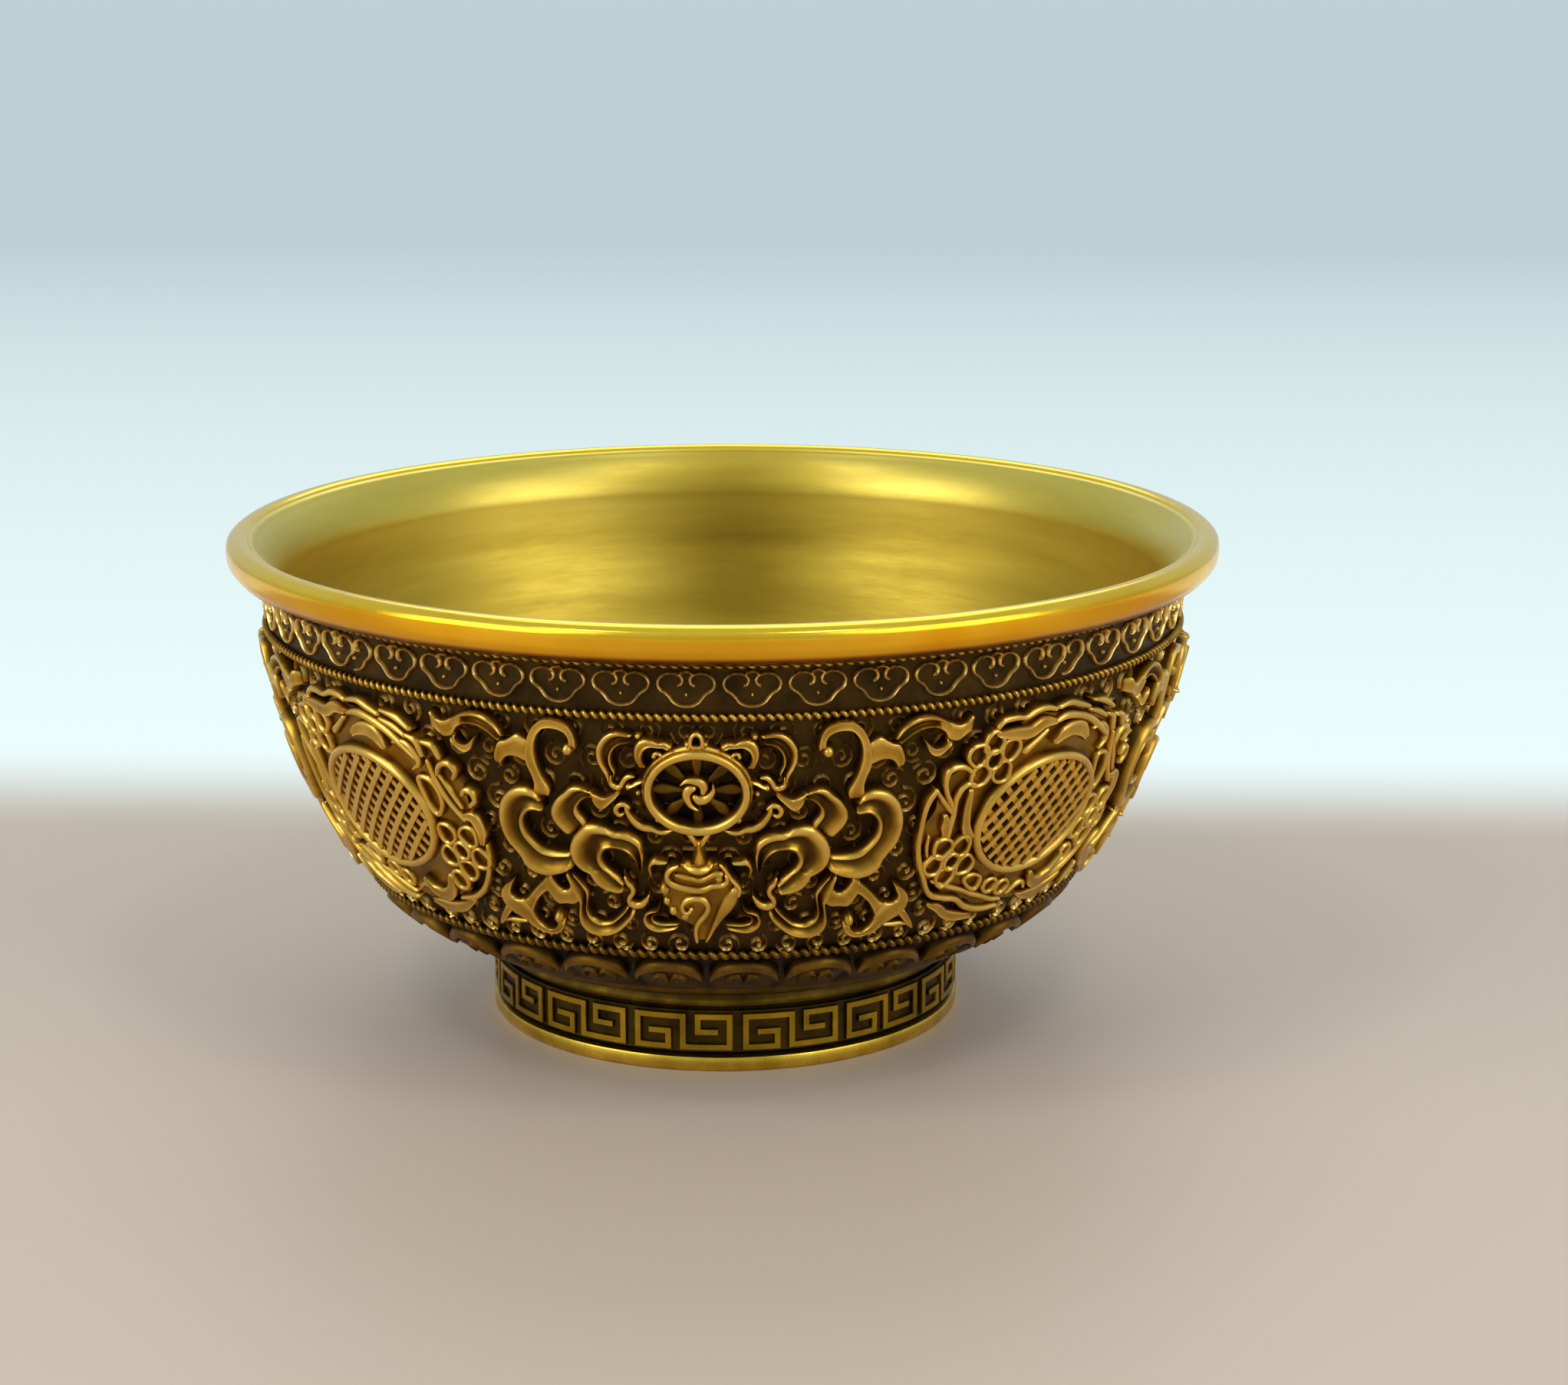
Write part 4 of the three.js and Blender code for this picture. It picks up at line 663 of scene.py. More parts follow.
def wheel():
    """The wheel: a stepped oval hoop with finials, low paddle spokes over a dark disc, a hub of three commas
    and a stem on two legs below."""
    cx, cy, rx, ry = -0.02, 8.95, 5.38, 4.46
    hoop = oval(cx, cy, (rx, ry), 0.68, -np.linspace(0, TAU, 24, endpoint=False))
    yield "hoop", 2.2, hoop, dict(step=0.25, closed=True)
    # The flat dark disc stands for the deep hollow behind the spokes: patina with painted shade.
    yield "mound", 0.3, (cx, cy, (rx - 0.2, ry - 0.2)), dict(
        sides=48, shares=(0.5, 0.9, 1), height=lambda share, a: np.where(share < 1, 1, 0) + 0 * a,
        wear=lambda share, a: 0 * share)
    for k in range(8):
        c, s = math.cos(k * TAU / 8), math.sin(k * TAU / 8)
        spoke = [(cx + share * rx * c, cy + share * ry * s, half) for share, half in (
            (0.34, 0.34), (0.46, 0.42), (0.6, 0.62), (0.74, 0.7), (0.84, 0.52), (0.92, 0.3))]
        yield "rounded", 0.95, spoke, dict(low=0.25, worn=0.34)
    for side in (-1, 1):
        yield "dome", 1.5, [(side * x, y, half) for x, y, half in (
            (5.95, 9.95, 0.28), (6.5, 9.7, 0.42), (7, 9.4, 0.32), (7.4, 9.3, 0.4))]
        for x, y, radius, high in ((7.4, 9.3, 0.5, 1.6), (6.4, 8.6, 0.46, 1.4), (4.4, 5.6, 0.6, 1.5),
                                   (0.95, 14.15, 0.46, 1.7)):
            yield "ball", high, (side * x, y, radius), dict(sides=10)
    yield "rounded", 1.7, [(-0.62, 13.9, 0.3), (-0.62, 14.4, 0.32), (-0.42, 15, 0.32), (0, 15.25, 0.34),
                           (0.42, 15, 0.32), (0.62, 14.4, 0.32), (0.62, 13.9, 0.3)], dict(step=0.2)
    comma = np.array([(-1.75, 0.95, 0.12), (-1.15, 1.34, 0.34), (-0.3, 1.36, 0.5), (0.42, 1.08, 0.62),
                      (0.72, 0.55, 0.62), (0.62, 0.1, 0.42)])
    for k in range(3):
        c, s = math.cos(k * TAU / 3), math.sin(k * TAU / 3)
        x, y = cx + comma[:, 0] * c - comma[:, 1] * s, cy + 0.96 * (comma[:, 0] * s + comma[:, 1] * c)
        yield "rounded", 1.7, np.stack([x, y, comma[:, 2]], 1), dict(low=0.2, step=0.2)
    for leg in both([(1.15, 4.1, 0.4), (0.7, 3.4, 0.42), (0.26, 2.7, 0.42)]):
        yield "rounded", 1.5, leg
    yield "dome", 2, [(0, 3.1, 0.36), (0, 2.5, 0.42), (0, 1.8, 0.6), (0, 1.2, 0.86), (0, 0.6, 1)]


def conch():
    """The conch: a swollen body under a cap, whorls that sag across it, nodes on its left and a curled lip."""
    yield "pillow", 2.05, [
        (-2, 0.75, 2, 0.85), (-2.9, 0.4, 2.7, 0.5), (-3.75, -0.2, 3.2, -0.2), (-4.15, -1, 3.6, -0.9),
        (-4.7, -1.9, 4.3, -1.8), (-4.95, -2.7, 4.85, -2.7), (-4.9, -3.7, 4.75, -3.3), (-4.6, -4.7, 4.25, -4.4),
        (-4.1, -5.6, 3.6, -5.3), (-3.3, -6.4, 2.8, -6.3), (-2.2, -6.9, 2.1, -7.1), (-1.3, -7.3, 1.6, -7.9),
        (-1.05, -8.2, 1.15, -8.6), (-0.95, -9, 0.75, -9.1), (-0.8, -9.45, 0.3, -9.45)], dict(step=0.22, worn=0.55)
    for section, high, worn, knots in (
        ("dome", 2.6, 1, [(-1.6, 0.85, 0.28), (-1.25, 0.45, 0.4), (-0.7, 0.15, 0.5), (0, 0.05, 0.52),
                          (0.7, 0.2, 0.5), (1.15, 0.5, 0.4), (1.4, 0.85, 0.28)]),
        ("rounded", 2.5, 1, [(-2.45, 0.65, 0.22), (-3.05, 0.3, 0.36), (-3.55, -0.2, 0.4), (-3.72, -0.85, 0.42),
                             (-3.4, -1.5, 0.46), (-2.75, -1.85, 0.48), (-1.9, -2.1, 0.5), (-0.9, -2.3, 0.5),
                             (0, -2.35, 0.48), (0.75, -2.15, 0.46), (1.3, -1.85, 0.42), (2, -1.75, 0.4),
                             (2.7, -1.65, 0.4), (3.15, -1.1, 0.36), (3, -0.5, 0.26)]),
        ("rounded", 2.5, 0.92, [(-2.6, -0.4, 0.24), (-1.9, -0.65, 0.38), (-1.1, -0.8, 0.4), (-0.2, -1.05, 0.4),
                                (0.5, -0.95, 0.4), (1.1, -0.6, 0.4), (1.7, -0.3, 0.46), (2.4, -0.3, 0.44)]),
        ("rounded", 2.35, 1, [(2.4, 0.75, 0.22), (2.75, 0.35, 0.3), (3.1, -0.2, 0.3), (3.55, -0.95, 0.3),
                              (4.1, -1.65, 0.34), (4.5, -2.3, 0.4), (4.4, -3, 0.46)]),
        ("dome", 2.6, 0.85, [(3.9, -2.7, 0.8), (3.6, -3.5, 1.1), (3.1, -4.4, 1.15), (2.5, -5.3, 0.95),
                             (1.95, -6.3, 0.68), (1.45, -7.3, 0.5), (1.05, -8.2, 0.4), (0.6, -9, 0.3)]),
        ("rounded", 2.6, 1, [(-1.2, -4.95, 0.3), (-1.6, -5.3, 0.3), (-2.05, -5, 0.34), (-2.15, -4.4, 0.36),
                             (-1.75, -3.75, 0.4), (-0.95, -3.42, 0.42), (-0.1, -3.4, 0.46), (0.55, -3.7, 0.48),
                             (0.9, -4.35, 0.48), (0.75, -5.1, 0.46), (0.3, -5.8, 0.44), (-0.25, -6.5, 0.42),
                             (-0.6, -7.3, 0.4), (-0.7, -8.2, 0.38), (-0.62, -9.1, 0.3)]),
    ):
        yield section, high, knots, dict(low=0.9, step=0.22, worn=worn)
    for x, y, radius, high in ((-4.1, -2.6, 0.8, 2.3), (-3.95, -4.05, 0.6, 2.3), (-3.25, -5.3, 0.72, 2.35),
                               (-1.1, -4.75, 0.44, 2.65), (2.2, -1.05, 0.7, 2.3), (-1.9, -6.1, 0.7, 2.2)):
        yield "mound", high, (x, y, (radius, radius)), dict(low=1.2, sides=12, shares=(0.4, 0.75, 1))


def parasol():
    """The parasol: a ribbed canopy with a knob, a scalloped fringe and a waisted staff."""
    yield "dome", 2.3, [(0, 12.6, 1.0), (0, 11.4, 2.7), (0, 10.1, 4.2), (0, 8.9, 5.2)]
    yield "ball", 2.4, (0, 13.9, 0.75)
    for reach in (0, 1.9, 3.7):
        for rib in both([(0.15 * reach, 12.9, 0.2), (0.62 * reach, 11.4, 0.26), (reach, 9, 0.28)]):
            yield "rounded", 2.6 - 0.1 * reach, rib, dict(low=0.6)
    for k in range(7):
        x = (k - 3) * 1.55
        yield "rounded", 2.1, [(x - 0.72, 8.7, 0.2), (x, 7.6, 0.3), (x + 0.72, 8.7, 0.2)]
        yield "ball", 1.8, (x, 6.9, 0.36)
    yield "rounded", 2.5, [(-5.4, 8.9, 0.3), (0, 8.5, 0.42), (5.4, 8.9, 0.3)]
    yield "dome", 1.8, [(0, 7.6, 0.5), (0, 4, 0.5), (0, 2.6, 1.1), (0, 1.4, 0.5), (0, -0.8, 0.95)]


def banner():
    """The banner: three domed tiers, each with a rolled hem and pleats, above a tassel."""
    for top, wide in ((-1.9, 4.3), (-4.7, 3.9), (-7.5, 3.4)):
        yield "dome", 2.2, [(0, top, 0.7 * wide), (0, top - 1.1, wide), (0, top - 2.3, 0.86 * wide)]
        yield "rounded", 2.5, [(-wide, top - 2, 0.3), (0, top - 2.5, 0.4), (wide, top - 2, 0.3)], dict(low=0.4)
        for j in range(-2, 3):
            x = j * wide * 0.34
            yield "rounded", 2.45, [(0.85 * x, top - 0.1, 0.16), (x, top - 2, 0.22)], dict(low=0.6)
    yield "dome", 1.9, [(0, -10.3, 1.4), (0, -11.1, 0.9), (0, -12, 0.3)]


def lotus_flower():
    """The lotus flower: pointed petals in three layers with raised edges, a seed pod and a stem."""
    petal = [(0, 0.4, 0.6), (0, 2.6, 1.55), (0, 4.8, 1.5), (0, 6.6, 0.8), (0, 7.7, 0.15)]
    edges = both([(0.4, 0.8, 0.2), (1.45, 3, 0.24), (1.3, 5, 0.24), (0.1, 7.5, 0.15)])
    for angle, high in ((-1.25, 1.5), (1.25, 1.5), (-0.68, 1.8), (0.68, 1.8), (0, 2.2)):
        c, s = math.cos(angle), math.sin(angle)
        face, *rims = (
            [(x * c - y * s, 4.2 + x * s + y * c, half) for x, y, half in line] for line in (petal, *edges))
        yield "flat", high, face
        for rim in rims:
            yield "rounded", high + 0.3, rim, dict(low=0.4)
    yield "mound", 2.6, (0, 4.9, (2.1, 1.5))
    for x, y in ((-1.1, 5), (0, 5.5), (1.1, 5), (-0.5, 4.4), (0.5, 4.4)):
        yield "ball", 2.9, (x, y, 0.3)
    yield "dome", 1.7, [(0, 3.4, 1.0), (0, 1.4, 0.5), (0, -0.9, 0.9)]


def vase():
    """The treasure vase: a round body on a splayed foot, with rings at neck and belly and a garland of beads."""
    yield "dome", 2.3, [(0, -1.6, 2.1), (0, -2.4, 1.5), (0, -3.3, 1.35), (0, -4.3, 2.9), (0, -5.7, 4.4),
                        (0, -7.1, 4.7), (0, -8.7, 3.9), (0, -10, 2.3), (0, -10.9, 1.8), (0, -11.8, 2.6)]
    for y, wide in ((-1.7, 2.1), (-3.2, 1.4), (-4.6, 3.1), (-9.9, 2.3), (-11.6, 2.5)):
        yield "rounded", 2.6, [(-wide, y, 0.25), (0, y - 0.35, 0.36), (wide, y, 0.25)], dict(low=0.5)
    for k in range(9):
        x = (k - 4) * 0.98
        yield "ball", 2.75, (x, -7.7 + 0.1 * x * x, 0.42)


def fish_pair():
    """The pair of fish: mirrored, with forked tails, ribbed fins and an eye each."""
    for body in both([(3.5, 10.8, 0.6), (3.4, 9.6, 1.3), (2.9, 7.8, 1.85), (2.1, 6, 1.8), (1.2, 4.2, 1.2),
                      (0.6, 3, 0.5)]):
        yield "dome", 2.3, body
    for fin in ([(3.5, 10.6, 0.45), (4.2, 11.5, 0.5), (4.8, 12.1, 0.15)],
                [(3.4, 10.6, 0.45), (2.9, 11.8, 0.5), (2.5, 12.9, 0.2)],
                [(4.6, 8.8, 0.5), (5.6, 8, 0.4), (6, 6.9, 0.15)]):
        for knots in both(fin):
            yield "rounded", 1.9, knots
    for y in (9.2, 8.4, 7.6, 6.8):
        for knots in both([(1.6 + 0.1 * (y - 6), y, 0.14), (2.7, y - 0.6, 0.2), (4.1, y - 0.1, 0.14)]):
            yield "rounded", 2.55, knots, dict(low=0.8)
    for side in (-1, 1):
        yield "ball", 2.6, (side * 1.7, 4.9, 0.34)
    yield "dome", 1.5, [(0, 3, 0.9), (0, 1, 0.45), (0, -0.9, 0.95)]


def endless_knot():
    """The endless knot: straight bars that cross at right angles, tied by rounded loops at their ends."""
    for k, slide in enumerate((-1.9, 0, 1.9)):
        for hand in (-1, 1):
            bar = [(hand * (slide - 2.5), -7 - slide - 2.5, 0.46), (hand * (slide + 2.5), -7 - slide + 2.5, 0.46)]
            yield "twin", 1.8 + 0.25 * ((k + (hand > 0)) % 2), bar
    for loop in ([(0.8, -2.7), (1.5, -1.9), (0.2, -1.6)], [(0.8, -11.3), (1.5, -12.1), (0.2, -12.4)],
                 [(4.2, -7.7), (5.2, -8.3), (5.5, -7), (5.2, -5.7), (4.2, -6.3)]):
        for knots in both([(x, y, 0.46) for x, y in loop]):
            yield "twin", 1.9, knots


def blossom(x, y, size, petals):
    """A five-petalled blossom drawn in raised lines: a ring round the core and a rounded cell for each petal."""
    turn = np.linspace(0, TAU, 8, endpoint=False)
    for cx, cy, radius, wave, high in ((x, y, size, 0, 1.85), *((px, py, 1.22, 0.08, 1.7) for px, py in petals)):
        reach = radius * (1 + wave * np.cos(3 * (turn - math.atan2(cy - y, cx - x))))
        yield "rounded", high, oval(cx, cy, (reach, reach), 0.33, turn), dict(closed=True)


def lattice(place):
    """Slanting bars that cross inside the ring, cut off by an ellipse, the two directions at two heights. The ends
    of a bar are where the line y = x - shift, or its mirror image, meets (x / rx)^2 + (y / ry)^2 = 1."""
    rx, ry = LATTICE_RADII
    a = 1 / rx**2 + 1 / ry**2
    shapes = []
    for hand, high in ((1, 1.9), (-1, 1.65)):
        for shift in LATTICE_PITCH * np.arange(-4, 5):
            b = shift / ry**2
            root = b * b - a * ((shift / ry) ** 2 - 1)
            if root > LATTICE_SHORTEST:
                ends = [(b - math.sqrt(root)) / a, (b + math.sqrt(root)) / a]
                bar = [(x, MEDALLION_MIDDLE + hand * (x - shift)) for x in ends]
                shapes.append(square_line(bar, 0.38, SUNK, high, place))
    return shapes


def medallion(turn):
    """A round medallion over a seam: a plate with a scalloped edge, a ring round a lattice, and a wreath.
    The plate's edge is an ellipse whose reach changes with the cosines of 14 and 5 times the turn."""
    place = field(turn)
    edge = lambda a: 0.965 + 0.028 * np.cos(14 * a) + 0.012 * np.cos(5 * a + 1)
    height = lambda share, a: np.where(share < 0.5, 0.35, 1.0) * np.where(share >= 1, 0, 1) * (
        1 + 0.12 * np.sin(9 * a + 12 * share))
    plate_wear = lambda share, a: np.where(share < 0.55, 0.1, 0.5) + 0.08 * np.sin(7 * a + 20 * share)
    plate = dict(outline=edge, height=height, sides=140, wear=plate_wear,
                 shares=[0.1, 0.25, 0.4, 0.52, 0.6, 0.7, 0.8, 0.9, 0.95, 0.985, 1.0])
    ring = oval(0, MEDALLION_MIDDLE, RING_RADII, 0.62, -np.linspace(0, TAU, 28, endpoint=False))
    wreath = [
        *((section, high, [(x, y, WREATH_WIDER * half) for x, y, half in knots]) for section, high, knots in WREATH),
        *(("rounded", high, [(x, y, WREATH_WIDER * half) for x, y in loop], dict(closed=True))
          for high, half, loop in WREATH_LOOPS),
        *(row for flower in BLOSSOMS for row in blossom(*flower)),
    ]
    return merge([
        *drawn(place, [("mound", 0.8, (0, MEDALLION_MIDDLE, MEDALLION_RADII), plate),
                       ("rounded", 2.05, ring, dict(step=0.35, closed=True))]),
        *lattice(place), *drawn(place, wreath),
    ])


def collar():
    """The lotus collar. Within a petal, u runs from -1 to 1 across. The petal's tip line falls with a power of u;
    inside it the skin swells as a root of one less u squared, and drops outside. A plain rounded ring runs
    round the foot of the petals, and each has a rolled brow and a hook on either side of its middle."""
    columns = 18 * PETALS
    angle = np.arange(columns)[:, None] * TAU / columns
    u = 2 * ((angle * PETALS / TAU) % 1) - 1
    along = np.linspace(0, LOWER_AT - 0.15, 60)[None]
    tip = 14.8 - 3.2 * np.abs(u) ** 2.2
    inside = eased(np.clip((tip - along) / 0.7, 0, 1) * np.clip((0.97 - np.abs(u)) / 0.16, 0, 1))
    swell = inside * (0.2 + 0.5 * np.sqrt(1 - u * u)) * np.clip((along - 6.2) / 1.6, 0, 1)
    ring = np.clip(1 - ((along - 4.7) / 1.7) ** 2, 0, 1) ** 0.5
    outer = on_bowl(angle, along, np.maximum(swell, 0.5 * ring))
    inner = on_bowl(angle, np.linspace(LOWER_AT - 0.15, 0, 8)[None], -JACKET_WALL + 0 * angle)
    # The raised ring's extra brightness (0.28) is partly rubbed metal and partly a painted highlight along the ring.
    wear = np.concatenate([0.04 + 0.1 * inside + 0.28 * ring, np.full((columns, 8), 0.1)], 1)
    shapes = [ring_solid(np.concatenate([outer, inner], 1), wear)]
    brow = [(-2.72, 12.5, 0.12), (-2.35, 13.7, 0.42), (-1.5, 14.75, 0.6), (-0.6, 15.25, 0.68), (0, 15.35, 0.68),
            (0.6, 15.25, 0.68), (1.5, 14.75, 0.6), (2.35, 13.7, 0.42), (2.72, 12.5, 0.12)]
    hooks = both([(0.16, 10.9, 0.16), (0.22, 12.3, 0.26), (0.75, 13.15, 0.34), (1.25, 12.3, 0.28), (1.4, 10.8, 0.18)])
    # The brows and hooks are kept dull (0.44, 0.36): patina, with a painted dark reflection on these low parts.
    petal = [("rounded", 1.35, brow, dict(step=0.4, worn=0.44)),
             *(("wire", 1.15, hook, dict(step=0.5, worn=0.36)) for hook in hooks)]
    for k in range(PETALS):
        shapes += drawn(band((k + 0.5) * TAU / PETALS, 0), petal)
    return merge(shapes)


def foot_shell():
    """The foot: a polished band at its base, a dark groove, the wall behind the fret, a step and the flange."""
    radius, height, wear = np.array([
        (FOOT_INNER, 0.25, 0.3), (FOOT_INNER + 0.25, 0, 0.4), (28.5, 0, 0.6), (28.86, 0.1, 0.8), (29, 0.35, 0.85),
        (29, 1.5, 0.85), (28.9, 1.72, 0.8), (28.6, 1.84, 0.5), (28, 2.0, 0.12), (FOOT_WALL, 2.15, 0.1),
        (FOOT_WALL, 7.6, 0.1), (28.25, 7.75, 0.22), (28.42, 7.95, 0.34), (28.45, 8.5, 0.34), (28.3, 8.75, 0.3),
        (28.2, 9.2, 0.2), (27.9, 9.3, 0.1), (27.85, FLANGE_TOP, 0.1), (FLANGE_HOLE, FLANGE_TOP, 0.3),
        (FLANGE_HOLE, FLANGE_BOTTOM, 0.3), (FOOT_INNER, FLANGE_BOTTOM, 0.2), (FOOT_INNER, 4, 0.2),
    ]).T
    uneven = lambda angle, z: 0.02 * np.sin(7 * angle + z) + 0.015 * np.sin(19 * angle)
    return turned(np.stack([radius, height], 1), wear, 288, uneven)


def fret():
    """The fret: a thin strip round the foot and on it pairs of squared spirals, each one square bar
    carried from tip to tip through the upright that the two share."""
    strip = turned([(28.05, 2.3), (28.5, 2.3), (28.5, 7.4), (28.05, 7.4)], [0.05, 0.16, 0.16, 0.05], 280)
    w, h, inner, tip = 5.688 - FRET_HALF, 2.25 - FRET_HALF, 1.7, 3.988
    right = [(0, -h), (w, -h), (w, h), (inner, h), (inner, 0), (tip, 0)]
    path = [(-x, -y) for x, y in right[::-1]] + right
    shapes = [strip]
    for k in range(FRET_COUNT):
        place = on_foot(FRET_FIRST + k * TAU / FRET_COUNT)
        # The fret's crests are kept dull (0.6): patina, with a painted dark reflection on the low foot.
        shapes.append(square_line([(x, FRET_MIDDLE + y) for x, y in path], FRET_HALF, 0.55, 1.13, place, worn=0.6))
    return merge(shapes)


def lip():
    """The rim: a heavy lip whose section runs from the neck out under the lip, up its face and over the crown.
    It is dark below the lip, partly patina and partly painted shade, bright on its face, and brightest on the crown,
    where a painted highlight runs along it."""
    profile = smooth_line([
        (54.3, 55.6), (55.6, 55.66), (56.9, 55.7), (57.9, 55.8), (58.6, 56.1), (59.2, 56.62), (59.62, 57.15),
        (59.84, 57.6), (59.93, 58.2), (59.94, 58.8), (59.86, 59.3), (59.66, 59.66), (59.3, 59.95), (58.9, 60.15),
        (58.4, 60.26), (57.9, 60.24), (57.5, 60.08), (57.2, 59.8), (56.8, 59.2), (56.2, 58.4), (55.4, 57.3),
        (54.6, 56.2),
    ], 150, closed=True)
    # Painted light by height: dark below the face (patina with painted shade) and a painted highlight on the crown.
    face, crown = (np.clip((profile[:, 1] - start) / 0.5, 0, 1) for start in (56.4, 59.2))
    uneven = lambda angle, z: 0.022 * np.sin(5 * angle + 1.1) + 0.014 * np.sin(23 * angle + 0.8 * z) - 0.03
    return turned(profile, 0.05 + 0.75 * face + 0.2 * crown, 480, uneven)


def spun(profile, steps=256):
    """A profile of radius and height that starts and ends on the axis, turned round it, with a fan at each pole."""
    rings = round_axis(np.arange(steps)[None] * TAU / steps, profile[1:-1, :1], profile[1:-1, 1:])
    poles = [[0, 0, profile[0, 1]], [0, 0, profile[-1, 1]]]
    return poled(poles, rings, np.full(2 + rings.size // 3, 0.6))


def liner():
    """The smooth inside: two skins behind the ground line. The inner one nears the ground line towards the neck,
    so that it runs out to the rim without a crease. A flat floor closes both, with a rounded corner. It is brighter
    and glossier on the flare, and a painted dark reflection runs down the far side."""
    along = np.linspace(0, LENGTH, 90)
    ease = eased(np.clip((along - LENGTH + 16) / 16, 0, 1))
    outer, inner = (np.stack(off_line(along, rise), 1) for rise in (LINER_OUTER, LINER_INNER + ease))
    floor = inner[0, 1]
    corner = [(26.2, floor), (24.5, floor - 0.05), (22, floor), (11, floor)]
    flare = smooth_line([
        (53.9, 55.4), (54.6, 56.4), (55.4, 57.4), (56.2, 58.5), (56.8, 59.3), (57.22, 59.8), (56.95, 59.75),
        (56.2, 59.05), (55.3, 58), (54.5, 56.8), (53.95, 55.7), *inner[-3:-6:-1],
    ], 60)
    points, faces, _ = spun(np.concatenate([
        [(0, outer[0, 1]), (14, outer[0, 1])], outer[:-1], flare, inner[-7::-1], corner, [(0, floor)],
    ]))
    angle = np.arctan2(points[:, 0], points[:, 1])
    # A painted dark reflection runs down the far side; the flare is made brighter and glossier towards the rim.
    painted_dark_reflection = np.exp(-((angle + 0.03) / 0.2) ** 2) * np.clip((points[:, 2] - 25) / 20, 0, 1)
    flared = np.clip((points[:, 2] - 46) / 13, 0, 1) ** 2
    return points, faces, 0.6 - 0.36 * painted_dark_reflection - 0.06 * np.sin(3 * angle + 0.4) + 0.32 * flared


def add(name, data):
    """A new object in the scene."""
    made = bpy.data.objects.new(name, data)
    bpy.context.scene.collection.objects.link(made)
    return made


def paint(red, green, blue):
    """A screen colour of 0 to 255 as the linear colour that Blender reads."""
    share = np.array([red, green, blue]) / 255
    linear = np.where(share <= 0.04045, share / 12.92, ((share + 0.055) / 1.055) ** 2.4)
    return (*linear.tolist(), 1.0)


def emptied(owner):
    """The node tree of a material or of the world, with nothing in it."""
    owner.use_nodes = True
    owner.node_tree.nodes.clear()
    return owner.node_tree


def node(tree, kind, inputs=None, **settings):
    """A shader node with its settings, and its inputs set to values or joined to other nodes' outputs."""
    made = tree.nodes.new("ShaderNode" + kind)
    for name, value in settings.items():
        setattr(made, name, value)
    for key, value in (inputs or {}).items():
        if isinstance(value, bpy.types.NodeSocket):
            tree.links.new(value, made.inputs[key])
        else:
            made.inputs[key].default_value = value
    return made


def ramp(tree, share, stops):
    """Colours blended between stops of place and colour."""
    made = node(tree, "ValToRGB", {"Fac": share})
    elements = made.color_ramp.elements
    for k, (place, colour) in enumerate(stops):
        element = elements[k] if k < 2 else elements.new(place)
        element.position = place
        element.color = colour
    return made.outputs["Color"]


def noise(tree, coords, scale, detail=3.0, rough=0.55):
    """Cloudy noise of about 0.3 to 0.7, with so many clouds to the metre."""
    made = node(tree, "TexNoise", {"Vector": coords, "Scale": scale, "Detail": detail, "Roughness": rough})
    return made.outputs[0]


def stretched(tree, value, low, high, to_low=0, to_high=1, **settings):
    """A value's way from low to high as a way between two other values."""
    made = node(tree, "MapRange", {"Value": value, "From Min": low, "From Max": high, "To Min": to_low,
                                   "To Max": to_high}, **settings)
    return made.outputs["Result"]


def maths(tree, operation, first, second):
    """The sum, the product or the greater of two values, kept between 0 and 1."""
    return node(tree, "Math", {0: first, 1: second}, operation=operation, use_clamp=True).outputs[0]


def seen_by(tree, *kinds):
    """1 for a ray of one of these kinds, else 0."""
    rays = node(tree, "LightPath").outputs
    share = rays[f"Is {kinds[0]} Ray"]
    for kind in kinds[1:]:
        share = maths(tree, "ADD", share, rays[f"Is {kind} Ray"])
    return share


def finished(tree, kind, *parts):
    """Joins a shader, or a share and the two shaders that it mixes, to the tree's output."""
    last = parts[0] if len(parts) == 1 else node(tree, "MixShader", dict(enumerate(parts))).outputs[0]
    tree.links.new(last, node(tree, "Output" + kind).inputs["Surface"])


def brass(name, colours, gloss, metal, clouds, pits, streak=(1, 1, 1), bump=0.2):
    """Brass with an old finish. Wear, and the painted shade and highlights that the same attribute carries, plus
    clouds of noise picks the colour, the roughness and how metallic it is.
    Colours run from the darkest recess to the rubbed crest. Gloss is the roughness at those ends, and metal
    the same for how metallic it is. Clouds and pits each have a number to the metre and a strength."""
    material = bpy.data.materials.new(name)
    tree = emptied(material)
    coords = node(tree, "TexCoord").outputs["Object"]
    brushed = node(tree, "Mapping", {"Vector": coords, "Scale": streak}).outputs[0]
    wear = node(tree, "Attribute", attribute_name="wear").outputs["Fac"]
    cloud = noise(tree, brushed, clouds[0], 4)
    worn = maths(tree, "ADD", wear, stretched(tree, cloud, 0.3, 0.7, -clouds[1], clouds[1]))
    colour = ramp(tree, worn, [(place, paint(*screen)) for place, screen in colours])
    fine = noise(tree, brushed, pits[0], 2, 0.7)
    pitted = stretched(tree, fine, 0.3, 0.7, -pits[1], pits[1])
    rough = maths(tree, "ADD", stretched(tree, worn, 0, 1, *gloss), pitted)
    normal = node(tree, "Bump", {"Height": fine, "Strength": bump, "Distance": 0.0001}).outputs[0]
    shader = node(tree, "BsdfPrincipled", {
        "Base Color": colour, "Roughness": rough, "Metallic": stretched(tree, worn, 0, 0.6, *metal), "Normal": normal,
    })
    finished(tree, "Material", shader.outputs[0])
    return material


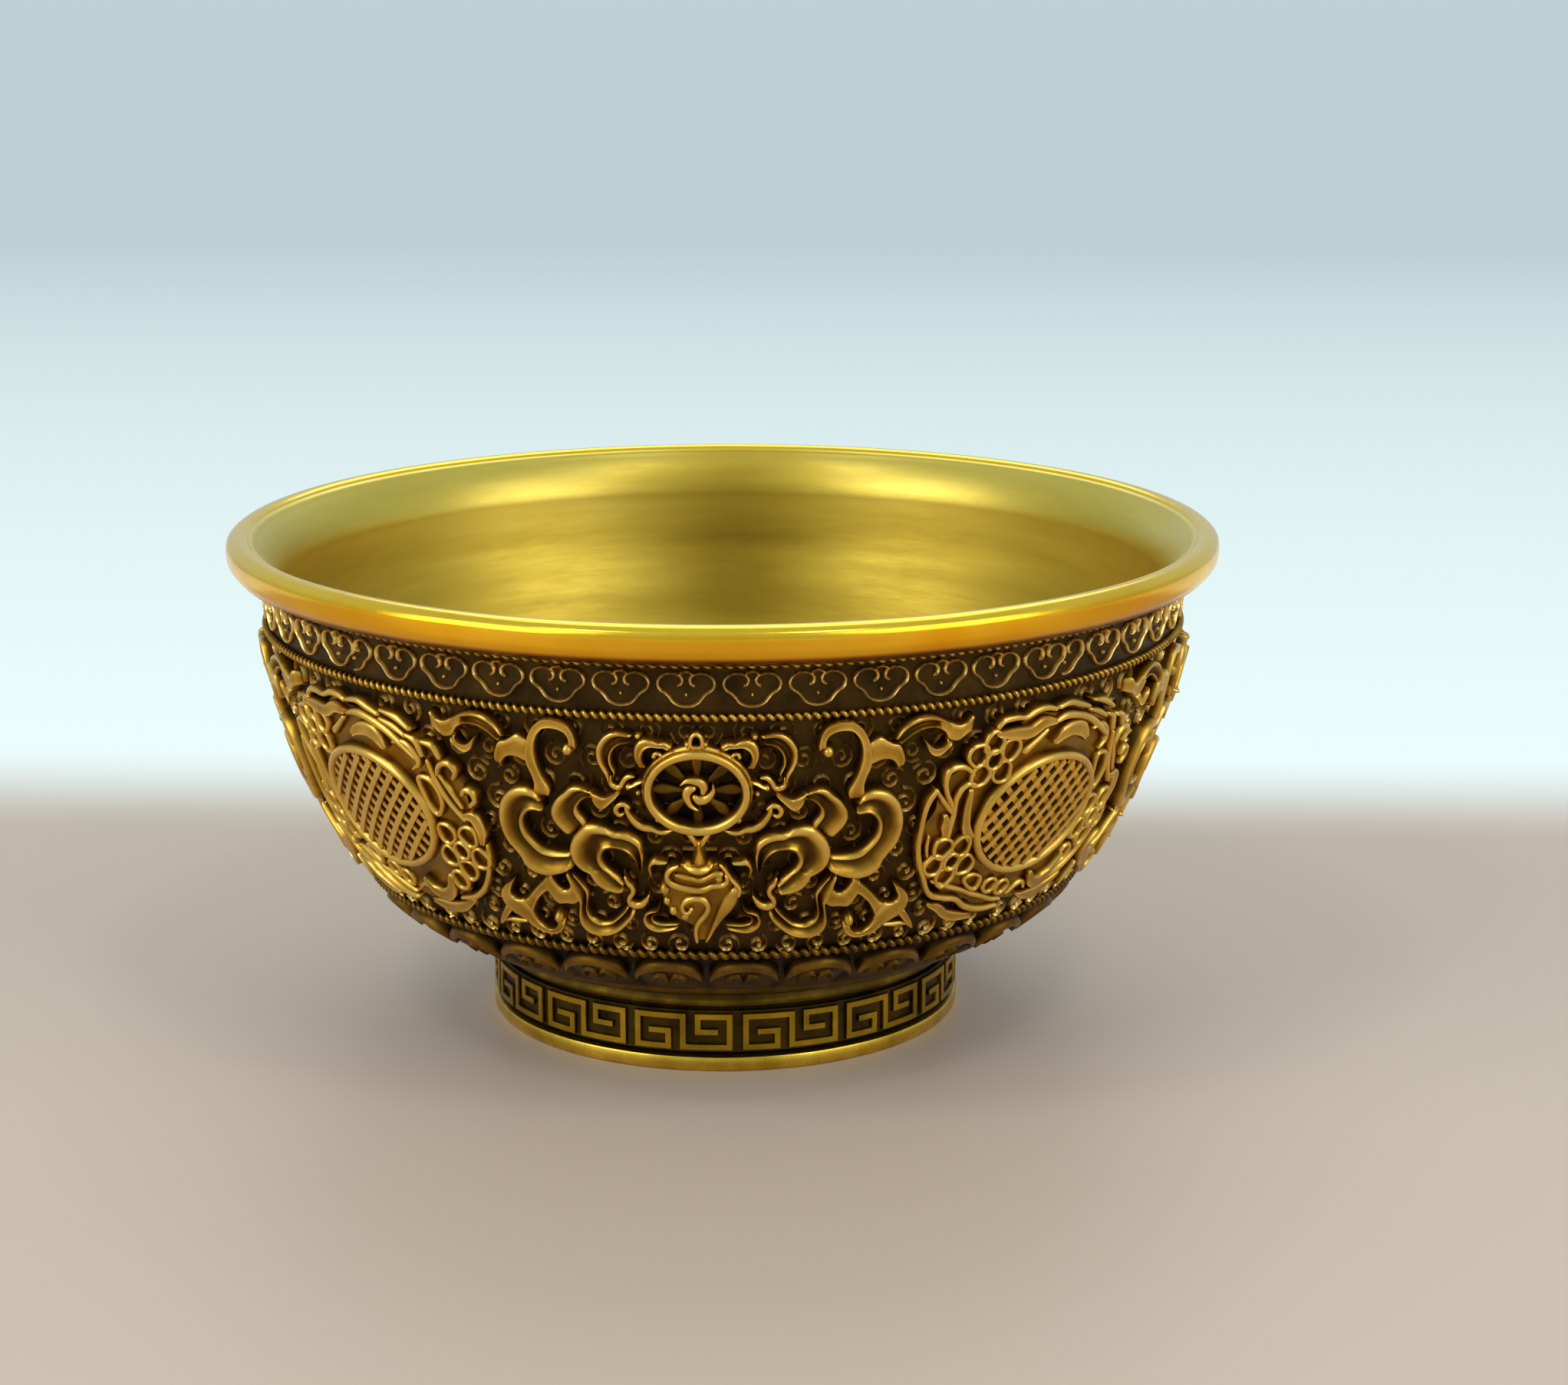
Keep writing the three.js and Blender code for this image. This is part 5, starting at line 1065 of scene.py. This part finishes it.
FINISHES = {
    "polished_brass": brass(
        "brass_lip", [(0, (96, 58, 6)), (0.35, (190, 120, 8)), (0.7, (236, 160, 12)), (1, (254, 206, 60))],
        (0.34, 0.18), (1, 1), (60, 0.1), (400, 0.03), bump=0.03),
    "brushed_brass": brass(
        "brass_inside", [(0, (110, 88, 20)), (0.3, (150, 124, 34)), (0.65, (190, 162, 60)), (1, (224, 198, 92))],
        (0.7, 0.3), (0.88, 0.95), (24, 0.12), (300, 0.03), (1, 1, 9), 0.04),
    "relief_brass": brass(
        "brass_relief", [(0, (36, 22, 6)), (0.35, (104, 72, 20)), (0.7, (172, 128, 38)), (1, (230, 187, 88))],
        (0.5, 0.3), (0.9, 1), (260, 0.12), (1200, 0.05), bump=0.08),
    "aged_brass": brass(
        "brass_ground", [(0, (48, 34, 12)), (0.3, (92, 66, 24)), (0.7, (188, 150, 72)), (1, (240, 204, 124))],
        (0.56, 0.34), (0.9, 1), (300, 0.1), (2200, 0.08)),
    "foot_brass": brass(
        "brass_foot", [(0, (26, 18, 6)), (0.35, (94, 70, 18)), (0.7, (188, 148, 36)), (1, (240, 200, 76))],
        (0.5, 0.26), (0.9, 1), (220, 0.14), (1200, 0.05), bump=0.08),
}


def piece(name, shape, finish, *nodes, sharp=None):
    """Adds a mesh object in metres that is part of the bowl and stands for some solids, with a slot's finish.
    Edges that turn more than the sharp angle keep their crease."""
    points, faces, wear = shape
    mesh = bpy.data.meshes.new(name)
    mesh.vertices.add(len(points))
    mesh.vertices.foreach_set("co", (points * MM).astype(np.float32).ravel())
    mesh.loops.add(faces.size)
    mesh.loops.foreach_set("vertex_index", np.ascontiguousarray(faces, np.int32).ravel())
    mesh.polygons.add(len(faces))
    mesh.polygons.foreach_set("loop_start", np.arange(0, faces.size, 3, dtype=np.int32))
    mesh.update(calc_edges=True)
    mesh.attributes.new("wear", "FLOAT", "POINT").data.foreach_set("value", wear.astype(np.float32))
    mesh.shade_smooth()
    if sharp:
        mesh.set_sharp_from_angle(angle=math.radians(sharp))
    mesh.materials.append(FINISHES[finish])
    made = add(name, mesh)
    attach(made, "root")
    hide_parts(*nodes)


piece("inside_shell", liner(), "brushed_brass", "bowl_liner", sharp=50)
piece("rim_lip", lip(), "polished_brass", "rim_ring")
piece("upper_twist", rope(UPPER_AT, UPPER_WIRE, 300, 0.8), "relief_brass", "upper_rope")
piece("middle_twist", rope(MIDDLE_AT, MIDDLE_WIRE, 350, 0.9), "relief_brass", "middle_rope")
# The lower twist is kept dull (0.5): patina, with a painted dark reflection on this low wire.
piece("lower_twist", rope(LOWER_AT, LOWER_WIRE, 240, 0.5), "relief_brass", "lower_rope")
piece("lotus_petals", collar(), "relief_brass", "lotus_collar", sharp=60)
piece("foot_shell", foot_shell(), "foot_brass", "foot_ring", sharp=40)
piece("foot_fret", fret(), "foot_brass", "fret_band", sharp=35)

EMBLEMS = {
    "front": (wheel, conch),
    "right": (parasol, banner),
    "back": (lotus_flower, vase),
    "left": (fish_pair, endless_knot),
}
for quarter, (side, emblems) in enumerate(EMBLEMS.items()):
    turn = quarter * QUARTER
    ground = merge([jacket(turn), *cloud_heads(turn), *ground_scrolls(turn)])
    piece(f"ground_{side}", ground, "aged_brass", f"jacket_{side}", sharp=60)
    for hand, mirror in (("left", True), ("right", False)):
        scrollwork = merge(drawn(field(turn, mirror), RIBBONS + TENDRILS + BEADS))
        piece(f"scrollwork_{side}_{hand}", scrollwork, "relief_brass", f"ribbons_{side}_{hand}", sharp=60)
    for emblem in emblems:
        name = emblem.__name__
        piece(f"{name}_relief", merge(drawn(field(turn), emblem())), "relief_brass", f"{name}_{side}", sharp=60)
    over_seam = medallion(turn + QUARTER / 2)
    piece(f"medallion_relief_{quarter + 1}", over_seam, "relief_brass", f"medallion_{quarter + 1}", sharp=60)


AIR = paint(191, 208, 214)


def floor():
    """A flat pale floor: warm grey under the bowl. The camera and polished metal see a pale blue ground behind
    the bowl, and far off on every side. It gets a little darker with the distance, and ends in the same blue
    as the air."""
    half = 60.0
    mesh = bpy.data.meshes.new("floor")
    mesh.from_pydata([(-half, -half, 0), (half, -half, 0), (half, half, 0), (-half, half, 0)], [], [range(4)])
    material = bpy.data.materials.new("pale_floor")
    tree = emptied(material)
    coords = node(tree, "TexCoord").outputs["Object"]
    depth = node(tree, "SeparateXYZ", {0: coords}).outputs["Y"]
    away = node(tree, "VectorMath", {0: coords}, operation="LENGTH").outputs["Value"]
    near = node(tree, "BsdfPrincipled", {"Base Color": paint(210, 193, 174), "Roughness": 0.5})
    # The far zone glows for the camera and glossy rays, brighter just behind the bowl and darker far off: a painted
    # fall-off of light.
    distance = ramp(tree, stretched(tree, depth, 0.08, 0.9), [(0, paint(238, 255, 255)), (1, AIR)])
    far = node(tree, "Emission", {"Color": distance, "Strength": 1})
    behind = stretched(tree, depth, 0.07, 0.12, interpolation_type="SMOOTHSTEP")
    remote = stretched(tree, away, 0.5, 2, interpolation_type="SMOOTHSTEP")
    share = maths(tree, "MULTIPLY", seen_by(tree, "Camera", "Glossy"), maths(tree, "MAXIMUM", behind, remote))
    finished(tree, "Material", share, near.outputs[0], far.outputs[0])
    mesh.materials.append(material)
    made = add("floor", mesh)


def world():
    """Pale blue air, as the camera and polished metal see it, over a plain fill light."""
    made = bpy.data.worlds.new("studio")
    bpy.context.scene.world = made
    tree = emptied(made)
    pale = node(tree, "Background", {"Color": AIR, "Strength": 1})
    fill = node(tree, "Background", {"Color": (0.9, 0.95, 1, 1), "Strength": 0.45})
    finished(tree, "World", seen_by(tree, "Camera", "Glossy", "Transmission"), fill.outputs[0], pale.outputs[0])


def lamp(name, place, size, watts, colour=(1, 1, 1)):
    """A soft square light that faces the bowl."""
    light = bpy.data.lights.new(name, "AREA")
    light.size = size
    light.energy = watts
    light.color = colour
    made = add(name, light)
    made.location = place
    made.rotation_euler = (Vector((0, 0, 0.04)) - Vector(place)).to_track_quat("-Z", "Y").to_euler()


def camera():
    """The photograph's view, fitted to its circles: a little to the right of the front, looking down."""
    lens = bpy.data.cameras.new("camera")
    lens.lens = 74.354
    lens.sensor_width = 36
    lens.clip_start = 0.01
    made = add("camera", lens)
    made.location = (0.0210, -0.3878, 0.1334)
    swing, down = math.radians(-2.016), math.radians(13.6876)
    ahead = Vector((math.sin(swing) * math.cos(down), math.cos(swing) * math.cos(down), -math.sin(down)))
    made.rotation_euler = ahead.to_track_quat("-Z", "Y").to_euler()
    bpy.context.scene.camera = made


floor()
world()
lamp("window_left", (-0.75, -0.55, 0.52), 0.7, 4.2)
lamp("window_right", (0.75, -0.5, 0.52), 0.7, 3.4)
lamp("ceiling_left", (-0.34, -0.35, 0.85), 0.12, 0.55)
lamp("ceiling_right", (0.26, -0.35, 0.85), 0.12, 0.55)
lamp("back_soft", (0.0, 0.6, 0.7), 0.6, 1.6, (0.92, 0.97, 1))
camera()
bpy.context.scene.view_settings.view_transform = "Standard"
